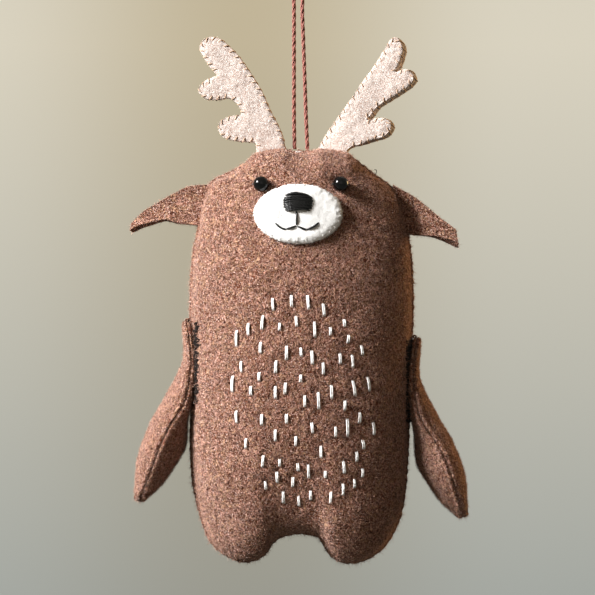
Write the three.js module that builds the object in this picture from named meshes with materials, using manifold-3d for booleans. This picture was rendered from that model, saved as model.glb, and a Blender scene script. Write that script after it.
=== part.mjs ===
// A hand-sewn felt reindeer ornament that hangs on a twisted cord loop.
// Millimetres, +Z up, +X to the viewer's right, the face looks along -Y.
// The origin is the inside top of the hanging loop, where a hook or twig carries it.
import * as THREE from 'three';
import { mergeVertices } from 'three/addons/utils/BufferGeometryUtils.js';
import Module from 'manifold-3d';

const wasm = await Module();
wasm.setup();

// Driving dimensions of the body, the one pillow that is both head and trunk
const bodyHeight = 101.8;
const bodyWidth = 55.1;
const bodyDepth = 33;
const loopHeight = 63.7; // from the inside top of the loop down to the head's top seam
const feltThickness = 1.2;
const seamWidth = 1.6; // the two felts lie flat on each other this far in from their edge
const clearance = 0.3;
const stuffingRoom = 0.6;
const threadDiameter = 0.6;
const stitchRoom = 0.5; // a seam's stitches lie this far off its edge
const stitchPitch = 2;
const bodyStitchPitch = 3.6;
const seamSteps = 8; // places taken along a side of the body for its stitches
const cutOverrun = 4;

// Cord
const cordDiameter = 1;
const cordSides = 8;
const cordSteps = 56;
const cordSpacing = 3.2; // between the two strands where they leave the head
const cordEndRoom = 0.4; // from each cord end to the line that the head swings about
const swingRise = 0.3; // from the head's top seam up to that line
const knotWidth = 4;
const knotHeight = 2.6;
const knotDrop = 4.6; // from the head's top seam to the middle of the knot

// Face
const muzzleWidth = 21;
const muzzleHeight = 14.1;
const muzzleDrop = 16; // from the head's top seam to the muzzle's middle
const muzzleShift = -0.67;
const muzzleStitches = 28;
const noseWidth = 7.4;
const noseHeight = 4.5;
const noseThickness = 0.9;
const noseRise = 2.6; // above the muzzle's middle
const noseStrands = 7;
const mouthThread = 0.55;
const eyeDiameter = 3.8;
const eyeSpacing = 18.9;
const eyeDrop = 8.85;
const eyeSink = 0.6;
const beadSides = [14, 9]; // of a bead, round it and down it
const socketSides = [12, 8];

// Antlers
const antlerHeight = 29;
const antlerWidth = 21.3;
const antlerSpacing = 15.6; // between the middles of the two tabs
const antlerShift = 0.1;
const antlerTabWidth = 7.4;
const antlerTabDepth = 4;
const leftAntlerTilt = -4; // degrees about the vertical
const rightAntlerTilt = -14; // degrees about the vertical

// Ears
const earLength = 16;
const earWidth = 11.2;
const earCup = 2;
const earPinchShare = 0.1; // how far the cupping has begun at the sewn root
const earGap = 0.7; // leaves the root room to turn beside the head's seam
const leftEarSweep = 1.5; // how far the tip goes back
const rightEarSweep = -4;
const earSlopes = { left: 0.15, right: 0.55 }; // how steeply the tip leans back as it rises

// Arms
const armLength = 45;
const armWidth = 15;
const armThickness = 10;
const armBow = 3.8;
const armTilt = 13.9; // degrees away from the body
const armGap = 1.65; // from the widest place of the body to the seam at the top of an arm
const armOut = bodyWidth / 2 + armGap;
const armDropShares = { left: 0.4175, right: 0.4575 }; // from the head's top seam
const leftArmTilt = 19; // degrees that its outer felt turns to the front, further down
const rightArmTilt = -2; // the same, where a negative one turns it to the back
const shoulderThread = 0.9;
const shoulderLength = 6;
const shoulderSink = 1; // from an arm's seam towards the body, to the middle of its stitches

const felt = new THREE.Color(0x8c5c46);
const materials = {
  brown_felt: surface(felt, 0.95),
  beige_felt: surface(new THREE.Color(0xd9bda2), 0.95),
  white_felt: surface(new THREE.Color(0xece7dc), 0.95),
  fibre_fill: surface(new THREE.Color(0xe8e6e0), 1),
  brown_thread: surface(new THREE.Color(0x4a3025), 0.8),
  beige_thread: surface(new THREE.Color(0xd6b294), 0.8),
  white_thread: surface(new THREE.Color(0xf1ede4), 0.8),
  black_thread: surface(new THREE.Color(0x14110f), 0.6),
  cord: surface(new THREE.Color(0xa8604f), 0.85),
  black_bead: surface(new THREE.Color(0x0b0a0a), 0.12),
};

function surface(color, roughness) {
  return new THREE.MeshStandardMaterial({ color, roughness, metalness: 0 });
}

// Outline of the body as shares of its width, from its middle, and of its height, from the feet.
// The sides read [up, across] and the feet and the head read [across, up].
const bodyEdges = {
  leftShares: [
    [0.089, -0.437], [0.145, -0.466], [0.201, -0.486], [0.298, -0.496], [0.396, -0.491],
    [0.518, -0.49], [0.6, -0.497], [0.656, -0.496], [0.713, -0.491], [0.769, -0.478],
    [0.805, -0.465], [0.871, -0.446], [0.907, -0.423],
  ],
  rightShares: [
    [0.115, 0.448], [0.164, 0.464], [0.201, 0.471], [0.298, 0.482], [0.396, 0.487],
    [0.493, 0.49], [0.579, 0.5], [0.656, 0.502], [0.732, 0.496], [0.786, 0.484],
    [0.839, 0.464], [0.893, 0.437],
  ],
  bottomShares: [
    [-0.437, 0.089], [-0.405, 0.052], [-0.347, 0.022], [-0.288, 0.006], [-0.248, 0.003],
    [-0.203, 0.008], [-0.155, 0.025], [-0.131, 0.048], [-0.09, 0.063], [-0.007, 0.072],
    [0.077, 0.063], [0.099, 0.048], [0.126, 0.024], [0.162, 0.007], [0.221, 0],
    [0.275, 0.005], [0.324, 0.018], [0.374, 0.04], [0.419, 0.078], [0.448, 0.115],
  ],
  topShares: [
    [-0.423, 0.907], [-0.396, 0.929], [-0.351, 0.942], [-0.302, 0.954], [-0.243, 0.973],
    [-0.194, 0.988], [-0.131, 0.996], [0, 1], [0.131, 0.996], [0.21, 0.988],
    [0.284, 0.963], [0.345, 0.938], [0.401, 0.917], [0.437, 0.893],
  ],
};
const bodyColumnShares = [
  0, 0.035, 0.1, 0.17, 0.235, 0.295, 0.34, 0.39, 0.45, 0.51,
  0.565, 0.605, 0.645, 0.7, 0.77, 0.83, 0.9, 0.965, 1,
];
// Where the seam's stitches run, as shares of each side of the body from the feet up
const lowerSeamShares = { left: [0.03, 0.24], right: [0.03, 0.2] };
const sideSeamShares = { left: [0.66, 0.84], right: [0.66, 0.82] };
const bodyRowShares = [
  0, 0.03, 0.08, 0.15, 0.23, 0.31, 0.39, 0.47, 0.55, 0.63, 0.71, 0.78, 0.84, 0.9, 0.95, 0.985, 1,
];

// An arm's outline from the side, its bottom end at 0 and its top end at 1
const armEdges = {
  leftShares: [
    [0.12, -0.36], [0.22, -0.47], [0.35, -0.5], [0.55, -0.43], [0.75, -0.32], [0.95, -0.22],
  ],
  rightShares: [[0.12, 0.36], [0.22, 0.47], [0.35, 0.5], [0.55, 0.43], [0.75, 0.32], [0.95, 0.22]],
  bottomShares: [[-0.36, 0.12], [-0.24, 0.04], [0, 0], [0.24, 0.04], [0.36, 0.12]],
  topShares: [[-0.22, 0.95], [-0.14, 0.99], [0, 1], [0.14, 0.99], [0.22, 0.95]],
};
const armColumnShares = [0, 0.09, 0.27, 0.5, 0.73, 0.91, 1];
const armRowShares = [0, 0.05, 0.14, 0.25, 0.36, 0.47, 0.58, 0.7, 0.84, 0.95, 1];
const armFilledRows = 7; // the filling stops where the two felts close on each other
const armOuterShares = [[0, 0.13], [0.09, 0.3], [0.2, 0.44], [0.33, 0.47], [0.46, 0.45],
  [0.58, 0.37], [0.69, 0.23], [0.82, 0.13], [1, 0.125]];
const armInnerShares = [[0, 0.13], [0.09, 0.38], [0.2, 0.5], [0.33, 0.56], [0.42, 0.45],
  [0.5, 0.31], [0.58, 0.2], [0.69, 0.14], [0.82, 0.125], [1, 0.125]];
const armBowShares = [[0, 0], [0.23, 0.42], [0.45, 0.77], [0.57, 1], [0.7, 0.93], [0.82, 0.72], [1, 0]];

// Antler outlines as shares of their width, from the tab's middle, and of their height
const antlerShares = {
  left: [
    [0.17, 0.02], [0.171, 0.065], [0.124, 0.192], [0.005, 0.368], [-0.093, 0.526],
    [-0.209, 0.667], [-0.343, 0.812], [-0.477, 0.918], [-0.57, 0.977], [-0.674, 1],
    [-0.767, 0.977], [-0.814, 0.909], [-0.767, 0.829], [-0.69, 0.744], [-0.616, 0.673],
    [-0.674, 0.65], [-0.767, 0.615], [-0.826, 0.564], [-0.809, 0.516], [-0.733, 0.472],
    [-0.609, 0.467], [-0.477, 0.479], [-0.384, 0.433], [-0.329, 0.368], [-0.343, 0.33],
    [-0.465, 0.316], [-0.558, 0.286], [-0.597, 0.231], [-0.57, 0.171], [-0.5, 0.133],
    [-0.343, 0.109], [-0.169, 0.094], [-0.156, 0.02],
  ],
  right: [
    [-0.17, 0.02], [-0.15, 0.065], [-0.063, 0.171], [0.07, 0.308], [0.233, 0.47],
    [0.36, 0.607], [0.5, 0.744], [0.628, 0.889], [0.671, 0.943], [0.744, 0.983],
    [0.81, 0.932], [0.831, 0.872], [0.791, 0.769], [0.751, 0.692], [0.844, 0.709],
    [0.907, 0.701], [0.958, 0.641], [0.924, 0.585], [0.814, 0.526], [0.657, 0.457],
    [0.535, 0.402], [0.442, 0.32], [0.395, 0.282], [0.547, 0.299], [0.628, 0.291],
    [0.686, 0.251], [0.674, 0.192], [0.605, 0.145], [0.471, 0.114], [0.337, 0.079],
    [0.244, 0.065], [0.195, 0.045], [0.172, 0.02],
  ],
};

// Ear outlines from root to tip as shares of the ear's length, outwards, and of its width, up
const earShares = {
  left: {
    upper: [[0, 0.46], [0.25, 0.35], [0.45, 0.2], [0.63, 0.02], [0.86, -0.22], [1, -0.5]],
    lower: [[0, -0.53], [0.12, -0.5], [0.3, -0.46], [0.49, -0.4], [0.7, -0.47], [0.87, -0.54], [1, -0.64]],
  },
  right: {
    upper: [[0, 0.36], [0.11, 0.18], [0.25, -0.01], [0.39, -0.22], [0.53, -0.42], [0.7, -0.68]],
    lower: [[0, -0.7], [0.12, -0.73], [0.34, -0.77], [0.54, -0.86], [0.64, -0.93], [0.7, -0.97]],
  },
};
const earRowShares = [0, 0.14, 0.3, 0.47, 0.64, 0.8, 0.92, 1];
const earColumnShares = [0, 0.25, 0.5, 0.75, 1];
const earDrop = 12.5; // from the head's top seam to the level of the ear's outline

// Mouth strokes as shares of the muzzle's width and height, from its middle
const mouthArcShares = [
  [-0.27, -0.16], [-0.21, -0.24], [-0.14, -0.28], [-0.024, -0.225],
  [0.09, -0.29], [0.168, -0.26], [0.243, -0.15],
];
const mouthStemShares = [[-0.021, -0.01], [-0.023, -0.12], [-0.024, -0.225]];

// The cord's route from one exit to the other, x and z, chosen by hand
const cordRoute = [
  [-1.6, -63], [-1.72, -56], [-1.74, -46], [-1.74, -36], [-1.75, -27], [-1.9, -20.5],
  [-2.5, -14], [-3.05, -9], [-3.15, -5.2], [-2.3, -1.5], [0, 0.5], [2.3, -1.5],
  [3.1, -5.2], [2.8, -9], [1.9, -14], [0.9, -20.5], [0.35, -27], [0.6, -36],
  [0.95, -46], [1.3, -56], [1.6, -63],
];

const headTop = -loopHeight;
const bodyFoot = headTop - bodyHeight;
const seamGap = clearance;
const seamHalf = seamGap / 2 + feltThickness;
const halfDepth = bodyDepth / 2;
const threadRadius = threadDiameter / 2;
const swingLevel = headTop + swingRise;

// A smooth curve through a table of [place, value] pairs, with slopes from the neighbours
function curveThrough(table) {
  const slopes = table.map((_, k) => {
    const [x0, y0] = table[Math.max(k - 1, 0)];
    const [x1, y1] = table[Math.min(k + 1, table.length - 1)];
    return (y1 - y0) / (x1 - x0);
  });
  return (place) => {
    let k = 0;
    while (k < table.length - 2 && place > table[k + 1][0]) k += 1;
    const [x0, y0] = table[k];
    const [x1, y1] = table[k + 1];
    const span = x1 - x0;
    const t = Math.min(Math.max((place - x0) / span, 0), 1);
    const t2 = t * t;
    const t3 = t2 * t;
    return y0 * (2 * t3 - 3 * t2 + 1) + y1 * (3 * t2 - 2 * t3)
      + span * (slopes[k] * (t3 - 2 * t2 + t) + slopes[k + 1] * (t3 - t2));
  };
}

// A patch between four edge curves: (u, v) from 0 to 1 gives a place across and up
function makePatch(edges, width, height) {
  const { leftShares, rightShares, bottomShares, topShares } = edges;
  const left = curveThrough(leftShares);
  const right = curveThrough(rightShares);
  const bottom = curveThrough(bottomShares);
  const top = curveThrough(topShares);
  const mix = THREE.MathUtils.lerp;
  const first = (table) => table[0][0];
  const last = (table) => table[table.length - 1][0];
  const point = (across, up) => new THREE.Vector2(across * width, up * height);
  return {
    bottom: (u) => {
      const across = mix(first(bottomShares), last(bottomShares), u);
      return point(across, bottom(across));
    },
    top: (u) => {
      const across = mix(first(topShares), last(topShares), u);
      return point(across, top(across));
    },
    left: (v) => {
      const up = mix(first(leftShares), last(leftShares), v);
      return point(left(up), up);
    },
    right: (v) => {
      const up = mix(first(rightShares), last(rightShares), v);
      return point(right(up), up);
    },
  };
}

// Grid places along the border of a grid, anticlockwise as the face sees it
function borderOf(columns, rows) {
  const border = [];
  for (let i = 0; i < columns; i += 1) border.push([i, 0]);
  for (let j = 0; j < rows; j += 1) border.push([columns, j]);
  for (let i = columns; i > 0; i -= 1) border.push([i, rows]);
  for (let j = rows; j > 0; j -= 1) border.push([0, j]);
  return border;
}

// The patch's outline at the given shares, moved inwards by an inset
function insetBorder(patch, us, vs, inset) {
  const columns = us.length - 1;
  const rows = vs.length - 1;
  const border = borderOf(columns, rows);
  const points = border.map(([i, j]) => {
    if (j === 0) return patch.bottom(us[i]);
    if (i === columns) return patch.right(vs[j]);
    return j === rows ? patch.top(us[i]) : patch.left(vs[j]);
  });
  const moved = new Map();
  border.forEach(([i, j], k) => {
    const before = points[(k + points.length - 1) % points.length];
    const after = points[(k + 1) % points.length];
    const along = after.clone().sub(before).normalize();
    const inwards = new THREE.Vector2(-along.y, along.x).multiplyScalar(inset);
    moved.set(`${i},${j}`, points[k].clone().add(inwards));
  });
  return moved;
}

// Fills the border: bottom and top blended by v, plus left and right by u, less the corners
function insetGrid(patch, us, vs, inset) {
  const columns = us.length - 1;
  const rows = vs.length - 1;
  const moved = insetBorder(patch, us, vs, inset);
  const at = (i, j) => moved.get(`${i},${j}`);
  return vs.map((v, j) => us.map((u, i) => {
    const sum = new THREE.Vector2();
    sum.addScaledVector(at(i, 0), 1 - v).addScaledVector(at(i, rows), v);
    sum.addScaledVector(at(0, j), 1 - u).addScaledVector(at(columns, j), u);
    sum.addScaledVector(at(0, 0), (u - 1) * (1 - v)).addScaledVector(at(columns, 0), -u * (1 - v));
    return sum.addScaledVector(at(0, rows), (u - 1) * v).addScaledVector(at(columns, rows), -u * v);
  }));
}

// One closed surface: a front grid, a back grid, and walls through any rings between them
function closedGrids(front, back, rings = []) {
  const rows = front.length - 1;
  const columns = front[0].length - 1;
  const border = borderOf(columns, rows);
  const vertices = [];
  const faces = [];
  const start = (grid) => {
    const offset = vertices.length;
    grid.forEach((row) => vertices.push(...row));
    return (i, j) => offset + j * (columns + 1) + i;
  };
  const frontAt = start(front);
  const backAt = start(back);
  for (let j = 0; j < rows; j += 1) {
    for (let i = 0; i < columns; i += 1) {
      faces.push(frontAt(i, j), frontAt(i + 1, j), frontAt(i + 1, j + 1));
      faces.push(frontAt(i, j), frontAt(i + 1, j + 1), frontAt(i, j + 1));
      faces.push(backAt(i, j), backAt(i + 1, j + 1), backAt(i + 1, j));
      faces.push(backAt(i, j), backAt(i, j + 1), backAt(i + 1, j + 1));
    }
  }
  const loops = [border.map(([i, j]) => frontAt(i, j))];
  rings.forEach((ring) => {
    loops.push(ring.map((_, k) => vertices.length + k));
    vertices.push(...ring);
  });
  loops.push(border.map(([i, j]) => backAt(i, j)));
  for (let k = 0; k < loops.length - 1; k += 1) joinLoops(faces, loops[k], loops[k + 1]);
  return meshFrom(vertices, faces);
}

function joinLoops(faces, near, far) {
  near.forEach((a, k) => {
    const next = (k + 1) % near.length;
    faces.push(a, far[k], far[next], a, far[next], near[next]);
  });
}

function meshFrom(vertices, faces) {
  const geometry = new THREE.BufferGeometry().setFromPoints(vertices);
  geometry.setIndex(faces);
  geometry.computeVertexNormals();
  return geometry;
}

// Turns a geometry about in one direction and keeps its faces pointing out
function mirrored(geometry, x, y, z) {
  const copy = geometry.clone().scale(x, y, z);
  const index = copy.index.array;
  for (let k = 0; k < index.length; k += 3) [index[k + 1], index[k + 2]] = [index[k + 2], index[k + 1]];
  return copy;
}

function solidOf(geometry) {
  const bare = new THREE.BufferGeometry().setAttribute('position', geometry.getAttribute('position'));
  const loose = geometry.index ? bare.setIndex(geometry.index).toNonIndexed() : bare;
  const merged = mergeVertices(loose);
  const triVerts = new Uint32Array(merged.index.array);
  const vertProperties = merged.getAttribute('position').array;
  return new wasm.Manifold(new wasm.Mesh({ numProp: 3, vertProperties, triVerts }));
}

function geometryOf(solid) {
  const mesh = solid.getMesh();
  const geometry = new THREE.BufferGeometry();
  geometry.setAttribute('position', new THREE.BufferAttribute(mesh.vertProperties, 3));
  geometry.setIndex(new THREE.BufferAttribute(mesh.triVerts, 1));
  geometry.computeVertexNormals();
  return geometry;
}

// Cuts tools out of a geometry
function cut(geometry, tools) {
  return geometryOf(tools.reduce((rest, tool) => rest.subtract(solidOf(tool)), solidOf(geometry)));
}

// A round thread through points, its section held square to a reference direction
function thread(points, radius, sides, reference, closed = false) {
  const vertices = [];
  const faces = [];
  points.forEach((point, k) => {
    const count = points.length;
    const before = closed ? points[(k + count - 1) % count] : points[Math.max(k - 1, 0)];
    const after = closed ? points[(k + 1) % count] : points[Math.min(k + 1, count - 1)];
    const along = after.clone().sub(before).normalize();
    const up = reference.clone().addScaledVector(along, -reference.dot(along)).normalize();
    const side = along.clone().cross(up);
    for (let s = 0; s < sides; s += 1) {
      const angle = (2 * Math.PI * (s + 0.5)) / sides;
      const out = up.clone().multiplyScalar(Math.cos(angle)).addScaledVector(side, Math.sin(angle));
      vertices.push(point.clone().addScaledVector(out, radius));
    }
  });
  const loop = (k) => Array.from({ length: sides }, (_, s) => k * sides + s);
  for (let k = 0; k < points.length - 1; k += 1) joinLoops(faces, loop(k + 1), loop(k));
  if (closed) joinLoops(faces, loop(0), loop(points.length - 1));
  else {
    const last = (points.length - 1) * sides;
    for (let s = 1; s < sides - 1; s += 1) faces.push(0, s + 1, s, last, last + s, last + s + 1);
  }
  return meshFrom(vertices, faces);
}

// Body: how far the pillow has risen from its seam at (u, v), from 0 to 1
const bodyRise = (u, v) => {
  const across = 2 * Math.sqrt(Math.max(u * (1 - u), 0));
  const along = 2 * Math.sqrt(Math.max(v * (1 - v), 0));
  return across ** 0.9 * along ** 0.6 * (1 - 0.1 * v);
};
const bodyPatch = makePatch(bodyEdges, bodyWidth, bodyHeight);
const bodyRadius = (u, v, start, reach) => start + (reach - start) * bodyRise(u, v);

function bodyGrid(inset, start, reach, us = bodyColumnShares, vs = bodyRowShares) {
  const flat = insetGrid(bodyPatch, us, vs, inset);
  return flat.map((row, j) => row.map((p, i) => {
    return new THREE.Vector3(p.x, -bodyRadius(us[i], vs[j], start, reach), bodyFoot + p.y);
  }));
}

function atDepth(grid, y) {
  return borderOf(grid[0].length - 1, grid.length - 1).map(([i, j]) => grid[j][i].clone().setY(y));
}

// The front felt's outer face at a place on the front, by stepping (u, v) towards it
function frontPoint(x, z) {
  const goal = new THREE.Vector2(x, z - bodyFoot);
  let u = 0.5 + x / bodyWidth;
  let v = goal.y / bodyHeight;
  for (let step = 0; step < 30; step += 1) {
    const sum = new THREE.Vector2();
    sum.addScaledVector(bodyPatch.bottom(u), 1 - v).addScaledVector(bodyPatch.top(u), v);
    sum.addScaledVector(bodyPatch.left(v), 1 - u).addScaledVector(bodyPatch.right(v), u);
    sum.addScaledVector(bodyPatch.bottom(0), (u - 1) * (1 - v));
    sum.addScaledVector(bodyPatch.bottom(1), -u * (1 - v));
    sum.addScaledVector(bodyPatch.top(0), (u - 1) * v).addScaledVector(bodyPatch.top(1), -u * v);
    u = Math.min(Math.max(u + (goal.x - sum.x) / bodyWidth, 0), 1);
    v = Math.min(Math.max(v + (goal.y - sum.y) / bodyHeight, 0), 1);
  }
  return new THREE.Vector3(x, -bodyRadius(u, v, seamHalf, halfDepth), z);
}

function frontNormal(x, z) {
  const step = feltThickness;
  const across = frontPoint(x + step, z).sub(frontPoint(x - step, z));
  const up = frontPoint(x, z + step).sub(frontPoint(x, z - step));
  return across.cross(up).normalize();
}

// Body felts, each a shell with a flat margin along the seam, and the filling between them
function bodyPanel() {
  const outer = bodyGrid(0, seamHalf, halfDepth);
  const inner = bodyGrid(seamWidth, seamGap / 2, halfDepth - feltThickness);
  return closedGrids(outer, inner, [atDepth(outer, -seamGap / 2)]);
}

function bodyStuffing() {
  const us = bodyColumnShares;
  const vs = bodyRowShares.filter((_, k) => k % 2 === 0);
  const inset = seamWidth + stuffingRoom;
  const front = bodyGrid(inset, clearance, halfDepth - feltThickness - stuffingRoom, us, vs);
  const back = front.map((row) => row.map((p) => p.clone().setY(-p.y)));
  return closedGrids(front, back);
}

// Antlers: two cut felts each, with a tab that goes down between the two head felts
function antlerPlace(side) {
  const sign = side === 'left' ? -1 : 1;
  const x = antlerShift + (sign * antlerSpacing) / 2;
  const z = bodyFoot + curveThrough(bodyEdges.topShares)(x / bodyWidth) * bodyHeight;
  const turn = THREE.MathUtils.degToRad(side === 'left' ? leftAntlerTilt : rightAntlerTilt);
  return new THREE.Matrix4().makeRotationZ(turn).setPosition(x, 0, z);
}

function antlerPoints(side) {
  return antlerShares[side].map(([across, up]) => {
    return new THREE.Vector2(across * antlerWidth, up * antlerHeight);
  });
}

function antlerFelt(side, near) {
  const shape = new THREE.Shape();
  const points = antlerPoints(side);
  const sign = side === 'left' ? 1 : -1;
  shape.moveTo((sign * antlerTabWidth) / 2, -antlerTabDepth);
  shape.lineTo(points[0].x, points[0].y);
  shape.splineThru(points.slice(1));
  shape.lineTo((-sign * antlerTabWidth) / 2, -antlerTabDepth);
  shape.closePath();
  const geometry = new THREE.ExtrudeGeometry(shape, {
    depth: feltThickness,
    curveSegments: 2,
    bevelEnabled: false,
  });
  // Extrusion runs along -Y once the drawing stands up
  geometry.rotateX(Math.PI / 2).translate(0, near, 0);
  return geometry.applyMatrix4(antlerPlace(side));
}

function antlerSlot(side) {
  const width = antlerTabWidth + 2 * clearance;
  const thickness = 2 * (seamHalf + clearance);
  const height = antlerTabDepth + clearance + cutOverrun;
  const slot = new THREE.BoxGeometry(width, thickness, height);
  slot.translate(0, 0, cutOverrun - height / 2);
  return slot.applyMatrix4(antlerPlace(side));
}

// A stitch line along an outline: it keeps off the edge and swings from face to face over it
function edgeStitches(outline, pitch, place) {
  const offset = stitchRoom + threadRadius;
  const swing = seamHalf - threadRadius;
  const curve = new THREE.SplineCurve(outline);
  const count = Math.round(curve.getLength() / pitch);
  const dense = curve.getSpacedPoints(4 * count);
  const kept = [];
  for (let k = 0; k <= count; k += 1) {
    const t = k / count;
    const along = curve.getTangentAt(t);
    const point = curve.getPointAt(t);
    const out = new THREE.Vector2(along.y, -along.x);
    point.addScaledVector(out, offset);
    const room = Math.min(...dense.map((other) => other.distanceTo(point)));
    if (room > 0.97 * offset) kept.push(point);
  }
  return kept.map((point, k) => place(point, k % 2 ? swing : -swing));
}

function antlerStitches(side) {
  const points = antlerPoints(side).slice(1, -1);
  const outline = side === 'left' ? points : points.reverse();
  const lift = (p, y) => new THREE.Vector3(p.x, y, p.y);
  const path = edgeStitches(outline, stitchPitch, lift);
  const geometry = thread(path, threadRadius, 4, new THREE.Vector3(0, 1, 0));
  return geometry.applyMatrix4(antlerPlace(side));
}

// Ears: a cupped leaf of two felts, hinged on its sewn root
function earEdge(side, name, share) {
  const table = earShares[side][name];
  const t = share * table[table.length - 1][0];
  const sign = side === 'left' ? -1 : 1;
  const up = curveThrough(table)(t) * earWidth;
  const level = headTop - earDrop;
  const rootCurve = curveThrough(side === 'left' ? bodyEdges.leftShares : bodyEdges.rightShares);
  const root = rootCurve((level + up - bodyFoot) / bodyHeight) * bodyWidth;
  const x = root + sign * (earGap + t * earLength);
  return new THREE.Vector3(x, 0, level + up);
}

// A place between the two felts of an ear, by shares from its lower edge up and from its root out
function earMiddle(side, w, row) {
  const lower = earEdge(side, 'lower', row);
  const upper = earEdge(side, 'upper', row);
  const point = lower.clone().lerp(upper, w);
  const cup = earCup * (2 * w - 1) ** 2 * Math.sin(Math.PI * (earPinchShare + (1 - earPinchShare) * row));
  const lean = earSlopes[side] * row * (w - 0.5) * (upper.z - lower.z);
  const sweep = side === 'left' ? leftEarSweep : rightEarSweep;
  return point.setY(sweep * row - cup + lean);
}

// The felts stand off that place square to the ear, except at the root, where they join the seam
function earGrid(side, offset) {
  const stepShare = 0.05;
  return earColumnShares.map((w) => earRowShares.map((s) => {
    const row = side === 'left' ? 1 - s : s;
    const up = earMiddle(side, w + stepShare, row).sub(earMiddle(side, w - stepShare, row));
    const out = earMiddle(side, w, row + stepShare).sub(earMiddle(side, w, row - stepShare));
    const back = side === 'left' ? out.cross(up) : up.cross(out);
    back.normalize().lerp(new THREE.Vector3(0, 1, 0), 1 - row);
    return earMiddle(side, w, row).addScaledVector(back.normalize(), offset);
  }));
}

function earFelt(side, near) {
  return closedGrids(earGrid(side, near - feltThickness), earGrid(side, near));
}

// Arms: each a teardrop of two felts and a filling, seam down its front and back edges
const armPatch = makePatch(armEdges, armWidth, armLength);
const armTop = (side) => headTop - armDropShares[side] * bodyHeight;
const armCurves = { outer: curveThrough(armOuterShares), inner: curveThrough(armInnerShares) };
const armBowAt = curveThrough(armBowShares);

function armGrid(face, inset, start, trim) {
  const flat = insetGrid(armPatch, armColumnShares, armRowShares, inset);
  return flat.map((row, j) => row.map((p, i) => {
    const u = armColumnShares[i];
    const v = armRowShares[j];
    const reach = Math.max(armThickness * armCurves[face](v) - trim, start);
    const round = (2 * Math.sqrt(u * (1 - u))) ** 0.8 * (2 * Math.sqrt(v * (1 - v))) ** 0.4;
    return new THREE.Vector3(p.x, -(start + (reach - start) * round), p.y);
  }));
}

// Sets an arm built facing -Y on its side of the body, bowed, and turned more the further down
function armPlace(geometry, side, face) {
  const placed = face === 'outer' ? geometry : mirrored(geometry, 1, -1, 1);
  const most = THREE.MathUtils.degToRad(side === 'left' ? leftArmTilt : rightArmTilt);
  const position = placed.getAttribute('position');
  for (let k = 0; k < position.count; k += 1) {
    const share = Math.min(Math.max(position.getZ(k) / armLength, 0), 1);
    const turn = most * (1 - share ** 2);
    const x = position.getX(k);
    const y = position.getY(k) + armBow * armBowAt(share);
    position.setX(k, x * Math.cos(turn) - y * Math.sin(turn));
    position.setY(k, x * Math.sin(turn) + y * Math.cos(turn));
  }
  placed.translate(0, 0, -armLength).rotateZ(-Math.PI / 2);
  placed.rotateY(THREE.MathUtils.degToRad(armTilt));
  placed.translate(-armOut, 0, armTop(side));
  return side === 'left' ? placed : mirrored(placed, -1, 1, 1);
}

function armFelt(side, face) {
  const outer = armGrid(face, 0, seamHalf, 0);
  const inner = armGrid(face, seamWidth, seamGap / 2, feltThickness);
  return armPlace(closedGrids(outer, inner, [atDepth(outer, -seamGap / 2)]), side, face);
}

function armStuffing(side) {
  const inset = seamWidth + stuffingRoom;
  const trim = feltThickness + stuffingRoom;
  const near = armGrid('outer', inset, clearance / 2, trim).slice(0, armFilledRows);
  const far = armGrid('inner', inset, clearance / 2, trim).slice(0, armFilledRows);
  const back = far.map((row) => row.map((p) => p.clone().setY(-p.y)));
  return armPlace(closedGrids(near, back), side, 'outer');
}

function armStitches(side) {
  const outline = insetBorder(armPatch, armColumnShares, armRowShares, 0);
  const rows = armRowShares.length - 1;
  const border = borderOf(armColumnShares.length - 1, rows).filter(([, j]) => j < rows);
  const bend = border.findIndex(([i, j]) => i === 0 && j > 0);
  const order = [...border.slice(bend), ...border.slice(0, bend)];
  const points = order.map(([i, j]) => outline.get(`${i},${j}`));
  const lift = (p, y) => new THREE.Vector3(p.x, y, p.y);
  const path = edgeStitches(points, stitchPitch, lift);
  return armPlace(thread(path, threadRadius, 4, new THREE.Vector3(0, 1, 0)), side, 'outer');
}

function shoulderStitches(side) {
  const sign = side === 'left' ? -1 : 1;
  const bar = new THREE.CylinderGeometry(shoulderThread / 2, shoulderThread / 2, shoulderLength, 8);
  const rise = shoulderThread / 2 + clearance;
  return bar.translate(sign * (armOut - shoulderSink), 0, armTop(side) + rise);
}

// Face pieces, each laid on the felt below it
const muzzleLevel = headTop - muzzleDrop;
function muzzlePoint(angle, share, lift) {
  const x = muzzleShift + share * (muzzleWidth / 2) * Math.cos(angle);
  const z = muzzleLevel + share * (muzzleHeight / 2) * Math.sin(angle);
  const point = frontPoint(x, z);
  return point.addScaledVector(frontNormal(x, z), lift);
}

function muzzleFelt() {
  const ringShares = [0.45, 0.85, 1];
  const vertices = [];
  const faces = [];
  const loops = (lift, bevel) => ringShares.map((share) => {
    const first = vertices.length;
    const drop = share === 1 ? bevel : 0;
    for (let k = 0; k < muzzleStitches; k += 1) {
      const angle = (2 * Math.PI * k) / muzzleStitches;
      vertices.push(muzzlePoint(angle, share, lift - drop));
    }
    return Array.from({ length: muzzleStitches }, (_, k) => first + k);
  });
  const top = loops(clearance + feltThickness, feltThickness / 4);
  const base = loops(clearance, 0);
  const topMiddle = vertices.push(muzzlePoint(0, 0, clearance + feltThickness)) - 1;
  const baseMiddle = vertices.push(muzzlePoint(0, 0, clearance)) - 1;
  top[0].forEach((a, k) => faces.push(topMiddle, a, top[0][(k + 1) % muzzleStitches]));
  base[0].forEach((a, k) => faces.push(baseMiddle, base[0][(k + 1) % muzzleStitches], a));
  const path = [...top, ...base.reverse()];
  for (let k = 0; k < path.length - 1; k += 1) joinLoops(faces, path[k], path[k + 1]);
  return meshFrom(vertices, faces);
}

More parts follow.
